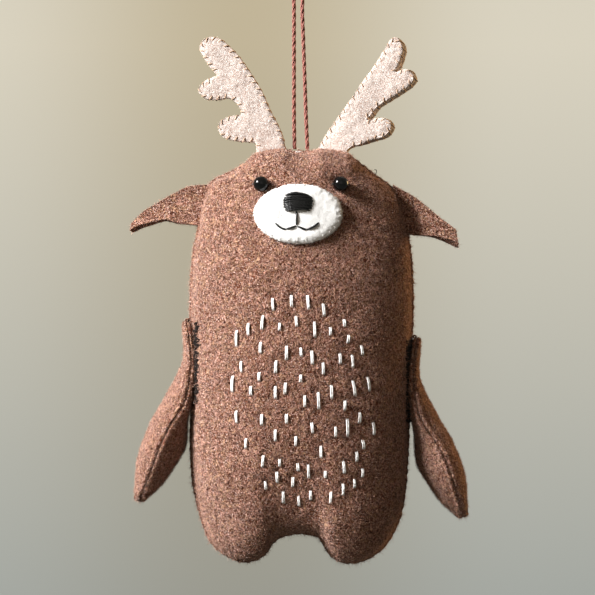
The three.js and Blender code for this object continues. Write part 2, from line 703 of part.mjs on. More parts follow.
function muzzleEdgeStitches() {
  const points = [];
  const out = 1 + (2 * (clearance + threadRadius)) / muzzleHeight;
  for (let k = 0; k < 2 * muzzleStitches; k += 1) {
    const angle = (Math.PI * k) / muzzleStitches;
    const lift = clearance + threadRadius + (k % 2) * (feltThickness / 2);
    points.push(muzzlePoint(angle, out, lift));
  }
  return thread(points, threadRadius, 4, new THREE.Vector3(0, 1, 0), true);
}

const onMuzzle = 2 * clearance + feltThickness;
function noseStitches() {
  const columns = [-1, -0.55, 0.55, 1];
  const rows = 2 * noseStrands;
  const grid = (lift, ribbed) => Array.from({ length: rows + 1 }, (_, j) => columns.map((share) => {
    const up = (2 * j) / rows - 1;
    const half = (noseWidth / 2) * (1 - 0.3 * up ** 4);
    const x = muzzleShift + share * half;
    const z = muzzleLevel + noseRise + (up * noseHeight) / 2;
    const rib = ribbed ? noseThickness * (j % 2 ? 1 : 0.75) * (Math.abs(share) === 1 ? 0.5 : 1) : 0;
    return frontPoint(x, z).addScaledVector(frontNormal(x, z), lift + rib);
  }));
  return closedGrids(grid(onMuzzle, true), grid(onMuzzle, false));
}

function mouthStitches() {
  const place = ([across, up]) => {
    const x = muzzleShift + across * muzzleWidth;
    const z = muzzleLevel + up * muzzleHeight;
    return frontPoint(x, z).addScaledVector(frontNormal(x, z), onMuzzle + mouthThread / 2);
  };
  const strand = (shares, steps) => {
    const curve = new THREE.CatmullRomCurve3(shares.map(place));
    return thread(curve.getSpacedPoints(steps), mouthThread / 2, 6, new THREE.Vector3(0, 1, 0));
  };
  return geometryOf(solidOf(strand(mouthArcShares, 12)).add(solidOf(strand(mouthStemShares, 2))));
}

function eyeCentre(sign) {
  const x = (sign * eyeSpacing) / 2;
  const z = headTop - eyeDrop;
  return frontPoint(x, z).addScaledVector(frontNormal(x, z), eyeDiameter / 2 - eyeSink);
}

function eyeBall(sign, room, sides) {
  const ball = new THREE.SphereGeometry(eyeDiameter / 2 + room, ...sides);
  const centre = eyeCentre(sign);
  return ball.translate(centre.x, centre.y, centre.z);
}

// Seam stitches of the body, between two places on its outline
function seamStitches(points) {
  const lift = (p, y) => new THREE.Vector3(p.x, y, bodyFoot + p.y);
  const path = edgeStitches(points, bodyStitchPitch, lift);
  return thread(path, threadRadius, 5, new THREE.Vector3(0, 1, 0));
}

function sideSeam(side, shares) {
  const edge = side === 'left' ? bodyPatch.left : bodyPatch.right;
  const places = [];
  for (let k = 0; k <= seamSteps; k += 1) {
    places.push(edge(THREE.MathUtils.lerp(shares[0], shares[1], k / seamSteps)));
  }
  return side === 'left' ? places.reverse() : places;
}

function lowerSeam() {
  const across = bodyColumnShares.map((u) => bodyPatch.bottom(u));
  return [
    ...sideSeam('left', lowerSeamShares.left), ...across, ...sideSeam('right', lowerSeamShares.right),
  ];
}

// Cord: one twisted cord out of the head, round its loop and back, and its knot inside
function cordTube() {
  const route = new THREE.CatmullRomCurve3(cordRoute.map(([x, z]) => new THREE.Vector3(x, 0, z)));
  const ring = [];
  for (let s = 0; s < cordSides; s += 1) {
    const angle = (2 * Math.PI * (s + 0.5)) / cordSides;
    ring.push(new THREE.Vector2(Math.cos(angle), Math.sin(angle)).multiplyScalar(cordDiameter / 2));
  }
  return new THREE.ExtrudeGeometry(new THREE.Shape(ring), { steps: cordSteps, extrudePath: route });
}

function cordKnot() {
  const stub = (x) => {
    const top = swingLevel - cordEndRoom;
    const bottom = headTop - knotDrop;
    const tube = new THREE.CylinderGeometry(cordDiameter / 2, cordDiameter / 2, top - bottom, cordSides);
    return solidOf(tube.rotateX(Math.PI / 2).translate(x, 0, (top + bottom) / 2));
  };
  const lump = new THREE.SphereGeometry(knotHeight / 2, 12, 8).scale(knotWidth / knotHeight, 1, 1);
  const knot = solidOf(lump.translate(0, 0, headTop - knotDrop));
  return geometryOf(knot.add(stub(-cordSpacing / 2)).add(stub(cordSpacing / 2)));
}

function cordSlot() {
  const width = cordSpacing + cordDiameter + 2 * clearance;
  const height = knotDrop + cutOverrun;
  const slot = new THREE.BoxGeometry(width, cordDiameter + 2 * clearance, height);
  return slot.translate(0, 0, headTop + cutOverrun - height / 2);
}

function knotPocket() {
  const room = stuffingRoom;
  const pocket = new THREE.BoxGeometry(knotWidth + 2 * room, knotHeight + 2 * room, knotHeight + 2 * room);
  return pocket.translate(0, 0, headTop - knotDrop);
}

const ornament = new THREE.Group();
function add(name, geometry, material) {
  const mesh = new THREE.Mesh(geometry, materials[material].clone());
  mesh.name = name;
  ornament.add(mesh);
}

const slots = [antlerSlot('left'), antlerSlot('right'), cordSlot()];
const sockets = [eyeBall(-1, clearance, socketSides), eyeBall(1, clearance, socketSides)];
const panel = bodyPanel();
add('hanging_cord', cordTube(), 'cord');
add('cord_knot', cordKnot(), 'cord');
add('body_front_felt', cut(panel, [...slots, ...sockets]), 'brown_felt');
add('body_back_felt', cut(mirrored(panel, 1, -1, 1), slots), 'brown_felt');
add('body_stuffing', cut(bodyStuffing(), [...slots, knotPocket()]), 'fibre_fill');
add('lower_seam_stitches', seamStitches(lowerSeam()), 'brown_thread');
add('left_side_seam_stitches', seamStitches(sideSeam('left', sideSeamShares.left)), 'brown_thread');
add('right_side_seam_stitches', seamStitches(sideSeam('right', sideSeamShares.right)), 'brown_thread');
add('muzzle_felt', muzzleFelt(), 'white_felt');
add('muzzle_edge_stitches', muzzleEdgeStitches(), 'white_thread');
add('nose_stitches', noseStitches(), 'black_thread');
add('mouth_stitches', mouthStitches(), 'black_thread');
add('left_eye_bead', eyeBall(-1, 0, beadSides), 'black_bead');
add('right_eye_bead', eyeBall(1, 0, beadSides), 'black_bead');
for (const side of ['left', 'right']) {
  add(`${side}_antler_front_felt`, antlerFelt(side, -seamGap / 2), 'beige_felt');
  add(`${side}_antler_back_felt`, antlerFelt(side, seamGap / 2 + feltThickness), 'beige_felt');
  add(`${side}_antler_edge_stitches`, antlerStitches(side), 'beige_thread');
  add(`${side}_ear_front_felt`, earFelt(side, -seamGap / 2), 'brown_felt');
  add(`${side}_ear_back_felt`, earFelt(side, seamGap / 2 + feltThickness), 'brown_felt');
  add(`${side}_arm_outer_felt`, armFelt(side, 'outer'), 'brown_felt');
  add(`${side}_arm_inner_felt`, armFelt(side, 'inner'), 'brown_felt');
  add(`${side}_arm_stuffing`, armStuffing(side), 'fibre_fill');
  add(`${side}_arm_seam_stitches`, armStitches(side), 'brown_thread');
  add(`${side}_shoulder_stitches`, shoulderStitches(side), 'brown_thread');
}

export default ornament;
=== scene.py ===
# %% [markdown]
# A felt reindeer hangs on a loop of twisted cord. The CAD frame already holds every piece at its
# real place and size, so this notebook only dresses it: each cell replaces one plain solid with a
# mesh that shows felt, thread, bead or cord as they are made by hand.

# %% Load the frame
import bpy
import numpy as np
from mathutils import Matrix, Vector
from mathutils.geometry import delaunay_2d_cdt


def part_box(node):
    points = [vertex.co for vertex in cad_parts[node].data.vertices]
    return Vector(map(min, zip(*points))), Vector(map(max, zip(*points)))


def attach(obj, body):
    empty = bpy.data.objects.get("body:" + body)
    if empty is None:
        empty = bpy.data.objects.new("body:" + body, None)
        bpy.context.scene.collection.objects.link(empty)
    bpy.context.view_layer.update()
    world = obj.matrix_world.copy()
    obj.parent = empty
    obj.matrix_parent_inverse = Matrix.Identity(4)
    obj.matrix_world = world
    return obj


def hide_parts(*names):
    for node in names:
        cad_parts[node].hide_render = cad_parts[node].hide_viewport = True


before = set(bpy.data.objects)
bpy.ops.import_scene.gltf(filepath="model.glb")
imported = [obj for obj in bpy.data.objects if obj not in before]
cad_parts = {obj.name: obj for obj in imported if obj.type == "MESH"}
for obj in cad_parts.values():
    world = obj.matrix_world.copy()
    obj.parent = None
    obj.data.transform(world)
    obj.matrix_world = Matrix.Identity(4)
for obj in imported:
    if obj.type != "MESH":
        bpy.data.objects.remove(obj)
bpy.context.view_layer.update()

scene = bpy.context.scene

# %% [markdown]
# All shapes are worked out in millimetres in the CAD model's frame: z up, x to the viewer's
# right, the face towards -y, and the inside top of the cord's loop at zero. These are the few
# sizes of the CAD model that more than one piece needs.

# %% Sizes
MM = 0.001
head_top, body_width, body_height, half_depth = -63.7, 55.1, 101.8, 16.5
body_foot = head_top - body_height
felt_thick, seam_half, seam_close, seam_inset = 1.2, 1.35, 0.03, 1.6
side_sign = {"left": -1, "right": 1}
dice = np.random.default_rng(24)
print("body", body_width, "by", body_height, "mm, its foot at", round(body_foot, 1))

# %% [markdown]
# The camera comes first. The photograph looks straight at the ornament from about sixty
# centimetres, and its frame is 147.6 mm wide there. A long lens gives that frame.

# %% Camera
camera_distance, frame_width, sensor = 600, 147.6, 36
optics = bpy.data.cameras.new("camera")
optics.sensor_width, optics.lens = sensor, sensor * camera_distance / frame_width
optics.clip_start, optics.clip_end = 0.01, 10
camera = bpy.data.objects.new("camera", optics)
camera.location = (-0.87 * MM, -camera_distance * MM, -99.8 * MM)
camera.rotation_euler = (np.pi / 2, 0, 0)
scene.collection.objects.link(camera)
scene.camera = camera
scene.view_settings.view_transform = "Standard"
print("lens", round(optics.lens, 1), "mm")

# %% [markdown]
# A piece is a mesh made from one array of points and a few arrays of faces. foreach_set hands
# both to Blender in one go, much faster than one face at a time.

# %% From arrays to a piece
slots = {}


def new_mesh(name, points, faces, material, uv=None):
    """Points in millimetres and arrays of corner numbers become one smooth mesh in metres."""
    mesh = bpy.data.meshes.new(name)
    corners = np.concatenate([f.ravel() for f in faces]).astype(np.int32)
    sizes = np.concatenate([np.full(len(f), f.shape[1]) for f in faces])
    mesh.vertices.add(len(points))
    mesh.vertices.foreach_set("co", (np.asarray(points, np.float32) * MM).ravel())
    mesh.loops.add(len(corners))
    mesh.loops.foreach_set("vertex_index", corners)
    mesh.polygons.add(len(sizes))
    mesh.polygons.foreach_set("loop_start", (np.cumsum(sizes) - sizes).astype(np.int32))
    mesh.update(calc_edges=True)
    mesh.polygons.foreach_set("use_smooth", np.ones(len(sizes), bool))
    if uv is not None:
        mesh.uv_layers.new(name="UVMap").uv.foreach_set("vector", uv.astype(np.float32).ravel())
    mesh.materials.append(material)
    piece = bpy.data.objects.new(name, mesh)
    scene.collection.objects.link(piece)
    return piece


def new_piece(name, shape, material, body="torso", nodes=(), uv=None, slot=None):
    points, faces = shape
    slot = slot or slots[material.name]
    piece = new_mesh(name, points, faces, material, uv)
    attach(piece, body)
    if nodes:
        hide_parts(*nodes)
    triangles = sum(len(f) * (f.shape[1] - 2) for f in faces)
    print(f"{name}: {len(points)} points, {triangles} triangles on {body}")
    return piece


# %% [markdown]
# Four ways of making faces cover the whole ornament: a grid, a closed shell between two grids, a
# tube along many paths at once for all threads, and a flat cut shape filled with triangles for
# the felts that have a free outline.

# %% Points and directions
def unit(vectors):
    """Each vector divided by its own length."""
    return vectors / np.maximum(np.linalg.norm(vectors, axis=-1, keepdims=True), 1e-12)


def xyz(x, y, z):
    """Three arrays or numbers side by side as points."""
    return np.stack(np.broadcast_arrays(x, y, z), -1)


def upright(flat, y=0.0):
    """Points of a plane stood up in x and z, at the given depth."""
    return xyz(flat[..., 0], y, flat[..., 1])


# %% Grids and shells
def grid_faces(rows, columns, start=0, flip=False):
    """Four corners per cell of a grid, anticlockwise where columns run right and rows run up."""
    i = start + np.arange(rows * columns).reshape(rows, columns)
    quads = np.stack([i[:-1, :-1], i[:-1, 1:], i[1:, 1:], i[1:, :-1]], -1).reshape(-1, 4)
    return quads[:, ::-1] if flip else quads


def border_of(rows, columns):
    """The corner numbers round a grid, anticlockwise from its lower left."""
    i = np.arange(rows * columns).reshape(rows, columns)
    return np.concatenate([i[0, :-1], i[:-1, -1], i[-1, :0:-1], i[:0:-1, 0]])


def closed(front, back, rings, edge, front_faces, back_faces):
    """A front, a back, and walls that go through the rings between their edges."""
    ring_start = 2 * len(front) + np.arange(len(edge))
    loops = [edge, *(ring_start + k * len(edge) for k in range(len(rings))), edge + len(front)]
    walls = [np.stack([a, b, np.roll(b, -1), np.roll(a, -1)], -1)
             for a, b in zip(loops[:-1], loops[1:])]
    return np.concatenate([front, back, *rings]), [front_faces, back_faces, np.concatenate(walls)]


def shell(front, back, rings=()):
    """A front grid and a back grid turned over, closed round their borders."""
    rows, columns = front.shape[:2]
    return closed(front.reshape(-1, 3), back.reshape(-1, 3), rings, border_of(rows, columns),
                  grid_faces(rows, columns), grid_faces(rows, columns, rows * columns, True))


def mirrored(shape, axis):
    """Turns a shape over in one axis and turns its faces round so that they still point out."""
    signs = np.where(np.arange(3) == axis, -1, 1)
    return shape[0] * signs, [f[:, ::-1] for f in shape[1]]


def joined(*shapes):
    """Several shapes as one."""
    starts = np.cumsum([0] + [len(points) for points, _ in shapes])
    return (np.concatenate([points for points, _ in shapes]),
            [f + start for start, (_, faces) in zip(starts, shapes) for f in faces])


# %% Tubes along many paths
def sweep(paths, radius, reference, sides=6):
    """Rings round each path point: point + radius * (cos a * side + sin a * up), where up is the
    reference less its part along the path, and side is square to both."""
    paths = np.asarray(paths, float)
    count, steps = paths.shape[:2]
    along = unit(np.gradient(paths, axis=1))
    reference = np.broadcast_to(np.asarray(reference, float), paths.shape)
    up = unit(reference - (reference * along).sum(-1, keepdims=True) * along)
    angle = 2 * np.pi * (np.arange(sides) + 0.5) / sides
    ring = (np.cos(angle)[:, None] * np.cross(along, up)[:, :, None]
            + np.sin(angle)[:, None] * up[:, :, None])
    i = np.arange(count * steps * sides).reshape(count, steps, sides)
    a, b = i[:, :-1], i[:, 1:]
    quads = np.stack([a, b, np.roll(b, -1, 2), np.roll(a, -1, 2)], -1).reshape(-1, 4)
    caps = np.concatenate([i[:, 0], i[:, -1, ::-1]])
    return (paths[:, :, None] + radius * ring).reshape(-1, 3), [quads, caps]


def tube_uv(count, steps, sides, length):
    """A map for sweep's tubes: across runs once round the tube, and up runs along it in
    millimetres of thread."""
    s, t = np.meshgrid(np.arange(sides), np.arange(steps - 1))
    corner_s = np.stack([s, s, s + 1, s + 1], -1) / sides
    corner_t = np.stack([t, t + 1, t + 1, t], -1) / (steps - 1)
    uv = np.stack([corner_s, corner_t * length], -1).reshape(-1, 2)
    return np.concatenate([np.tile(uv, (count, 1)), np.zeros((2 * count * sides, 2))])


def threads(name, paths, radius, up, sides, material, length, nodes=(), body="torso", place=None,
            slot=None):
    """Tubes along paths as one piece, whose map is `length` long; `place` moves the shape."""
    shape = sweep(paths, radius, up, sides)
    uv = tube_uv(*np.shape(paths)[:2], sides, length)
    return new_piece(name, place(shape) if place else shape, material, body, nodes, uv=uv, slot=slot)


# %% [markdown]
# Felt is never quite even, and neither is a stuffed shape. Value noise, random numbers on a
# lattice with smooth blending between them, gives lumps of any size from one short function, and
# the same seed gives the same lumps on every run.

# %% Smooth noise
def smooth_noise(points, size, seed):
    """Random numbers at the corners of cells of the given size, blended inside each cell with
    the weights 3t^2 - 2t^3 in every direction; from -1 to 1."""
    cells = points / size
    low = np.floor(cells).astype(np.int64)
    t = cells - low
    t = t * t * (3 - 2 * t)
    total = np.zeros(points.shape[:-1])
    for corner in np.ndindex(2, 2, 2):
        weight = np.prod(np.where(np.array(corner) == 1, t, 1 - t), axis=-1)
        key = (low + corner) @ np.array([73856093, 19349663, 83492791]) + seed * 7919
        key = (key ^ (key >> 13)) * 1274126177
        total += weight * (((key ^ (key >> 16)) & 0xFFFF) / 0xFFFF)
    return 2 * total - 1


def lumps(points, seed, *pairs):
    """A sum of smooth noises from pairs of strength and size, each with the next seed."""
    return sum(strength * smooth_noise(points, size, seed + k)
               for k, (strength, size) in enumerate(pairs))


# %% Smooth curves and steps
def curve_through(table):
    """A smooth curve through [place, value] pairs: a cubic between two pairs whose slopes at
    both ends point from the pair before to the pair after."""
    x, y = np.array(table, float).T
    here = np.arange(len(x))
    before, after = np.maximum(here - 1, 0), np.minimum(here + 1, len(x) - 1)
    slope = (y[after] - y[before]) / (x[after] - x[before])

    def value(at):
        """The cubic's value at a place, held at its ends beyond the table."""
        k = np.clip(np.searchsorted(x, at, side="right") - 1, 0, len(x) - 2)
        span = x[k + 1] - x[k]
        t = np.clip((at - x[k]) / span, 0, 1)
        rise = y[k] * (2 * t**3 - 3 * t**2 + 1) + y[k + 1] * (3 * t**2 - 2 * t**3)
        return rise + span * (slope[k] * (t**3 - 2 * t**2 + t) + slope[k + 1] * (t**3 - t**2))

    return value


def smooth_step(value, low, high):
    """0 at low, 1 at high, and 3t^2 - 2t^3 between them, whichever is the larger."""
    t = np.clip((value - low) / (high - low), 0, 1)
    return t * t * (3 - 2 * t)


def nearest_on(line, places):
    """For places on a plane: the distance to a closed line and how far along it the nearest
    point is. The line is a dense row of points, so the nearest of them is near enough."""
    steps = np.linalg.norm(np.diff(line, axis=0, append=line[:1]), axis=1)
    travelled = np.concatenate([[0], np.cumsum(steps)[:-1]])
    flat = places.reshape(-1, 2)
    distance, along = np.empty(len(flat)), np.empty(len(flat))
    for part in np.array_split(np.arange(len(flat)), max(1, len(flat) // 1500)):
        gap = np.linalg.norm(flat[part, None] - line[None], axis=2)
        distance[part], along[part] = gap.min(1), travelled[gap.argmin(1)]
    return distance.reshape(places.shape[:-1]), along.reshape(places.shape[:-1]), steps.sum()


# %% [markdown]
# Finishes come next, because every piece needs one. Wool felt is a mat of fine curled fibres
# that lie every way. A few noises are each stretched in their own direction, so that they look
# like short fibres, and the strongest one wins at every spot. Light and dark fibres over a
# cloudy middle tone give the heathered look of the photograph, and drive the bump. Everything
# reads Object coordinates, so it stays on the felt when a piece moves.

# %% Node helpers
def tone(code):
    """A colour written as six hexadecimal digits, as the light values that shaders use."""
    channels = np.array([int(code[k:k + 2], 16) for k in (0, 2, 4)]) / 255
    light = np.where(channels <= 0.04045, channels / 12.92, ((channels + 0.055) / 1.055) ** 2.4)
    return (*light, 1)


def node(tree, kind, inputs=None, **settings):
    """Adds one shader node, sets it up and links or fills its sockets."""
    made = tree.nodes.new("ShaderNode" + kind)
    for key, value in settings.items():
        setattr(made, key, value)
    for key, value in (inputs or {}).items():
        if isinstance(value, bpy.types.NodeSocket):
            tree.links.new(value, made.inputs[key])
        else:
            made.inputs[key].default_value = value
    return made


def math(tree, kind, *values):
    """One step of arithmetic on values."""
    return node(tree, "Math", dict(enumerate(values)), operation=kind).outputs[0]


# %% Materials and their patterns
def new_material(name, slot, roughness, sheen=0.0, specular=0.3):
    """A material with only its main shader, whose plain numbers sit on its own sockets."""
    material = bpy.data.materials.new(name)
    material.use_nodes = True
    slots[name] = slot
    shader = material.node_tree.nodes["Principled BSDF"]
    shader.inputs["Roughness"].default_value = roughness
    shader.inputs["Specular IOR Level"].default_value = specular
    shader.inputs["Sheen Weight"].default_value = sheen
    shader.inputs["Sheen Roughness"].default_value = 0.35
    shader.inputs["Sheen Tint"].default_value = (1.0, 0.87, 0.84, 1)
    return material, material.node_tree, shader


def in_millimetres(tree):
    """Object coordinates counted in millimetres."""
    place = node(tree, "TexCoord").outputs["Object"]
    return node(tree, "VectorMath", {0: place, 3: 1000.0}, operation="SCALE").outputs[0]


def cloud(tree, place, size, detail=2.0):
    """A soft noise whose patches are about the given size in millimetres."""
    return node(tree, "TexNoise", {"Vector": place, "Scale": 1 / size, "Detail": detail}).outputs[0]


def ramp(tree, value, low, high):
    """Spreads a narrow range of a value to 0 to 1, with soft ends."""
    inputs = {"Value": value, "From Min": low, "From Max": high}
    return node(tree, "MapRange", inputs, interpolation_type="SMOOTHSTEP").outputs[0]


def mixed(tree, share, first, second):
    """Blends two colours by a share. Sockets 6 and 7 are the ones for colours."""
    return node(tree, "Mix", {0: share, 6: first, 7: second}, data_type="RGBA").outputs[2]


def add_bump(tree, shader, height, strength, depth):
    """Lets a height tilt the surface's light."""
    bump = node(tree, "Bump", {"Height": height, "Strength": strength, "Distance": depth * MM})
    tree.links.new(bump.outputs[0], shader.inputs["Normal"])


# %% Felt
def fibres(tree, place, angles, long, thin, low, high):
    """The largest of several noises, each stretched along its own direction in the felt."""
    best = 0.0
    for k, angle in enumerate(angles):
        inputs = {"Vector": place, "Rotation": (0.3 * k, angle, 0.2 * k), "Scale": (long, thin, thin)}
        turned = node(tree, "Mapping", inputs, vector_type="TEXTURE").outputs[0]
        best = math(tree, "MAXIMUM", ramp(tree, cloud(tree, turned, 1.0, 1.0), low, high), best)
    return best


def felt_material(name, slot, dark, middle, light, speck, contrast=1.0, fibre_size=1.0, relief=1.0,
                  sheen=0.15, other_light=None):
    """Felt: cloudy middle tone, dark hollows, light fibres and a few pale specks."""
    material, tree, shader = new_material(name, slot, 0.92, sheen, 0.1)
    place = in_millimetres(tree)
    drift = node(tree, "TexNoise", {"Vector": place, "Scale": 0.9, "Detail": 1.0}).outputs[1]
    sway = node(tree, "VectorMath", {0: drift, 3: 2.0}, operation="SCALE").outputs[0]
    curled = node(tree, "VectorMath", {0: place, 1: sway}, operation="ADD").outputs[0]
    thin, long = 0.25 * fibre_size, 1.25 * fibre_size
    light_fibres = fibres(tree, curled, (0.2, 1.1, 2.1, 2.8), long, thin, 0.55, 0.70)
    dark_fibres = fibres(tree, curled, (0.7, 1.7, 2.5), long * 0.8, thin * 1.1, 0.55, 0.68)
    mottle = ramp(tree, cloud(tree, place, 0.42), 0.40, 0.62)
    dark, middle, light, other = (tone(code) for code in (dark, middle, light, other_light or light))
    patches = ramp(tree, cloud(tree, place, 4.0, 3.0), 0.35, 0.65)
    base = mixed(tree, 0.7, mixed(tree, patches, dark, middle), middle)
    base = mixed(tree, math(tree, "MULTIPLY", mottle, 0.32 * contrast), base, dark)
    base = mixed(tree, math(tree, "MULTIPLY", dark_fibres, 0.9 * contrast), base, dark)
    pale = mixed(tree, ramp(tree, cloud(tree, place, 1.3), 0.42, 0.6), light, other)
    base = mixed(tree, math(tree, "MULTIPLY", light_fibres, 0.95 * contrast), base, pale)
    base = mixed(tree, ramp(tree, cloud(tree, place, 0.24, 0.0), 0.66, 0.76), base, tone(speck))
    tree.links.new(base, shader.inputs["Base Color"])
    heap = math(tree, "SUBTRACT", light_fibres, dark_fibres)
    add_bump(tree, shader, math(tree, "MULTIPLY_ADD", mottle, -0.5, heap), 0.8 * relief, 0.2)
    return material


# %% Thread, cord, fuzz and bead
def thread_material(name, slot, dark, light, roughness=0.65, sheen=0.2, pitch=0.9):
    """Thread: three strands that wind round it. A sine of the map's place across and along gives
    the stripes, and a fine noise breaks them up."""
    material, tree, shader = new_material(name, slot, roughness, sheen)
    uv = node(tree, "SeparateXYZ", {0: node(tree, "UVMap").outputs[0]})
    around = math(tree, "MULTIPLY", uv.outputs[0], 3.0)
    phase = math(tree, "MULTIPLY_ADD", uv.outputs[1], 1 / pitch, around)
    stripe = math(tree, "SINE", math(tree, "MULTIPLY", phase, 2 * np.pi))
    height = math(tree, "MULTIPLY_ADD", stripe, 0.5, cloud(tree, in_millimetres(tree), 0.12))
    colour = mixed(tree, ramp(tree, height, 0.0, 1.0), tone(dark), tone(light))
    tree.links.new(colour, shader.inputs["Base Color"])
    add_bump(tree, shader, height, 0.6, 0.05)
    return material


def fuzz_material(name, slot, dark, light):
    """Loose fibres: each spot takes a tone between two by a noise a little larger than a fibre."""
    material, tree, shader = new_material(name, slot, 0.8, 0.4, 0.2)
    pick = ramp(tree, cloud(tree, in_millimetres(tree), 0.5, 0.0), 0.3, 0.7)
    tree.links.new(mixed(tree, pick, tone(dark), tone(light)), shader.inputs["Base Color"])
    return material


def bead_material():
    """Black glass: deep black, and the faintest cloud in its gloss."""
    material, tree, shader = new_material("black_glass", "black_bead", 0.12, specular=0.22)
    haze = ramp(tree, cloud(tree, in_millimetres(tree), 0.8), 0.3, 0.8)
    gloss = node(tree, "MapRange", {"Value": haze, "To Min": 0.07, "To Max": 0.15}).outputs[0]
    tree.links.new(gloss, shader.inputs["Roughness"])
    tree.links.new(mixed(tree, haze, tone("040404"), tone("0c0b0b")), shader.inputs["Base Color"])
    return material


# %% All finishes
brown_felt = felt_material("brown_wool_felt", "brown_felt", "3a1709", "754029", "cb9a87", "f2d2c6",
                           1.2, 1.35, 1.1, 0.3, "c49a7a")
beige_felt = felt_material("beige_wool_felt", "beige_felt", "97796a", "cabeb6", "dbd3cd", "e6e0dc",
                           0.95, 0.8, 0.4)
white_felt = felt_material("white_wool_felt", "white_felt", "dcdcd9", "f4f4f2", "fafaf8", "ffffff",
                           0.5, 0.8, 0.35)
filling_wool = felt_material("filling_fibre", "fibre_fill", "cfcbc2", "e6e3dc", "f4f2ec", "ffffff",
                             0.6, 2.0)
# Near-black thread for the gaps beside the arms: its colour paints the shadow in the crevice there.
gap_shade_thread = thread_material("near_black_gap_shade_thread", "brown_thread", "080402", "1c0f08", 0.95, 0.0)
brown_thread = thread_material("brown_sewing_thread", "brown_thread", "50301f", "8f6048")
beige_thread = thread_material("beige_sewing_thread", "beige_thread", "a07a5a", "dfc3ab")
white_floss = thread_material("white_floss", "white_thread", "efeeeb", "ffffff", 0.5, 0.4)
black_floss = thread_material("black_floss", "black_thread", "030303", "1d1c1c", 0.36, 0.0)
cord_yarn = thread_material("rose_brown_yarn", "cord", "5f2d26", "a66d62", 0.8, 0.2, 1.2)
brown_fuzz = fuzz_material("brown_fuzz", "brown_felt", "653824", "d9ab94")
beige_fuzz = fuzz_material("beige_fuzz", "beige_felt", "d8bca6", "f6e9dc")
white_fuzz = fuzz_material("white_fuzz", "white_felt", "eeeeea", "fcfcfa")
black_glass = bead_material()
print(len(bpy.data.materials), "materials")

# %% [markdown]
# The cord leaves the head at two places, runs up, and makes the loop that the ornament hangs
# from. It could be a curve with a bevel, but then its twist would only be painted. Here each of
# its three yarns is its own tube on a spiral round the cord's line, which passes through the
# same points as in the CAD model.

# %% Cord line
cord_points = np.array([
    (-1.6, -63), (-1.72, -56), (-1.74, -46), (-1.74, -36), (-1.75, -27), (-1.9, -20.5),
    (-2.5, -14), (-3.05, -9), (-3.15, -5.2), (-2.3, -1.5), (0, 0.5), (2.3, -1.5),
    (3.1, -5.2), (2.8, -9), (1.9, -14), (0.9, -20.5), (0.35, -27), (0.6, -36),
    (0.95, -46), (1.3, -56), (1.6, -63)])
cord_thick, cord_pitch, cord_step, yarn_radius, yarn_spread = 1.0, 6.6, 0.11, 0.28, 0.24


def smooth_line(points, per_span=40):
    """A curve through points. Between two of them it is a cubic that leaves each point along
    the line from the one before to the one after, timed by the root of the distances."""
    p = np.concatenate([[2 * points[0] - points[1]], points, [2 * points[-1] - points[-2]]])
    knots = np.concatenate([[0], np.cumsum(np.linalg.norm(np.diff(p, axis=0), axis=1) ** 0.5)])
    out = []
    for k in range(1, len(p) - 2):
        t = np.linspace(knots[k], knots[k + 1], per_span, endpoint=False)[:, None]
        t0, t1, t2, t3 = knots[k - 1:k + 3]
        a = [((v - t) * p[k + n] + (t - u) * p[k + n + 1]) / (v - u)
             for n, (u, v) in zip((-1, 0, 1), ((t0, t1), (t1, t2), (t2, t3)))]
        b = [((v - t) * a[n] + (t - u) * a[n + 1]) / (v - u)
             for n, (u, v) in enumerate(((t0, t2), (t1, t3)))]
        out.append(((t2 - t) * b[0] + (t - t1) * b[1]) / (t2 - t1))
    return np.concatenate(out + [points[-1:]])


def evenly(line, step):
    """The same line with points the same distance apart."""
    travelled = np.concatenate([[0], np.cumsum(np.linalg.norm(np.diff(line, axis=0), axis=1))])
    at = np.linspace(0, travelled[-1], int(round(travelled[-1] / step)) + 1)
    return np.stack([np.interp(at, travelled, column) for column in line.T], -1), travelled[-1]


def twisted(line, ply):
    """Yarns round a line in the xz plane: line + spread * (cos a * square + sin a * y), where a
    grows by a full turn every pitch and each yarn starts at its own share of a turn."""
    along = unit(np.gradient(line, axis=0))
    square = xyz(along[:, 2], 0, -along[:, 0])
    paths = []
    for k in range(ply):
        angle = 2 * np.pi * (np.arange(len(line)) * cord_step / cord_pitch + k / ply)[:, None]
        paths.append(line + yarn_spread * (np.cos(angle) * square + np.sin(angle) * (0, 1, 0)))
    return np.array(paths)


cord_flat, cord_length = evenly(smooth_line(cord_points), cord_step)
cord_line = upright(cord_flat)
print("cord length", round(cord_length, 1), "mm")

# %% Cord
yarn_up = (0.02, 1, 0.01)
hanging_loop = threads("twisted_hanging_loop", twisted(cord_line, 3), yarn_radius, yarn_up, 7,
                       cord_yarn, cord_length, ["hanging_cord"], "hanger")

# %% [markdown]
# Inside the head the two ends are tied into one knot, which keeps the loop from pulling out. It
# never shows, but the part would not hang without it. A line that winds three times through a
# ring while it goes round twice is the simplest knot there is.

# %% Knot in the head
swing_level, knot_middle = head_top + 0.3, head_top - 4.6
stub_line, _ = evenly(np.array([(0.0, swing_level - 0.15), (0.0, knot_middle)]), cord_step)
stubs = [sweep(twisted(upright(stub_line + (x, 0)), 2), yarn_radius, yarn_up, 7)
         for x in (-1.6, 1.6)]
turn = np.linspace(0, 2 * np.pi, 160)
wide = 2 + np.cos(3 * turn)
knot_line = xyz(wide * np.cos(2 * turn) * 0.55, np.sin(3 * turn) * 0.55,
                wide * np.sin(2 * turn) * 0.42 + knot_middle)
knot_shape = joined(*stubs, sweep(knot_line[None], 0.42, (0.3, 1, 0.2), 8))
knot_uv = np.concatenate([tube_uv(2, len(stub_line), 7, 4.5)] * 2 + [tube_uv(1, 160, 8, 22)])
new_piece("twisted_cord_knot", knot_shape, cord_yarn, nodes=["cord_knot"], uv=knot_uv)

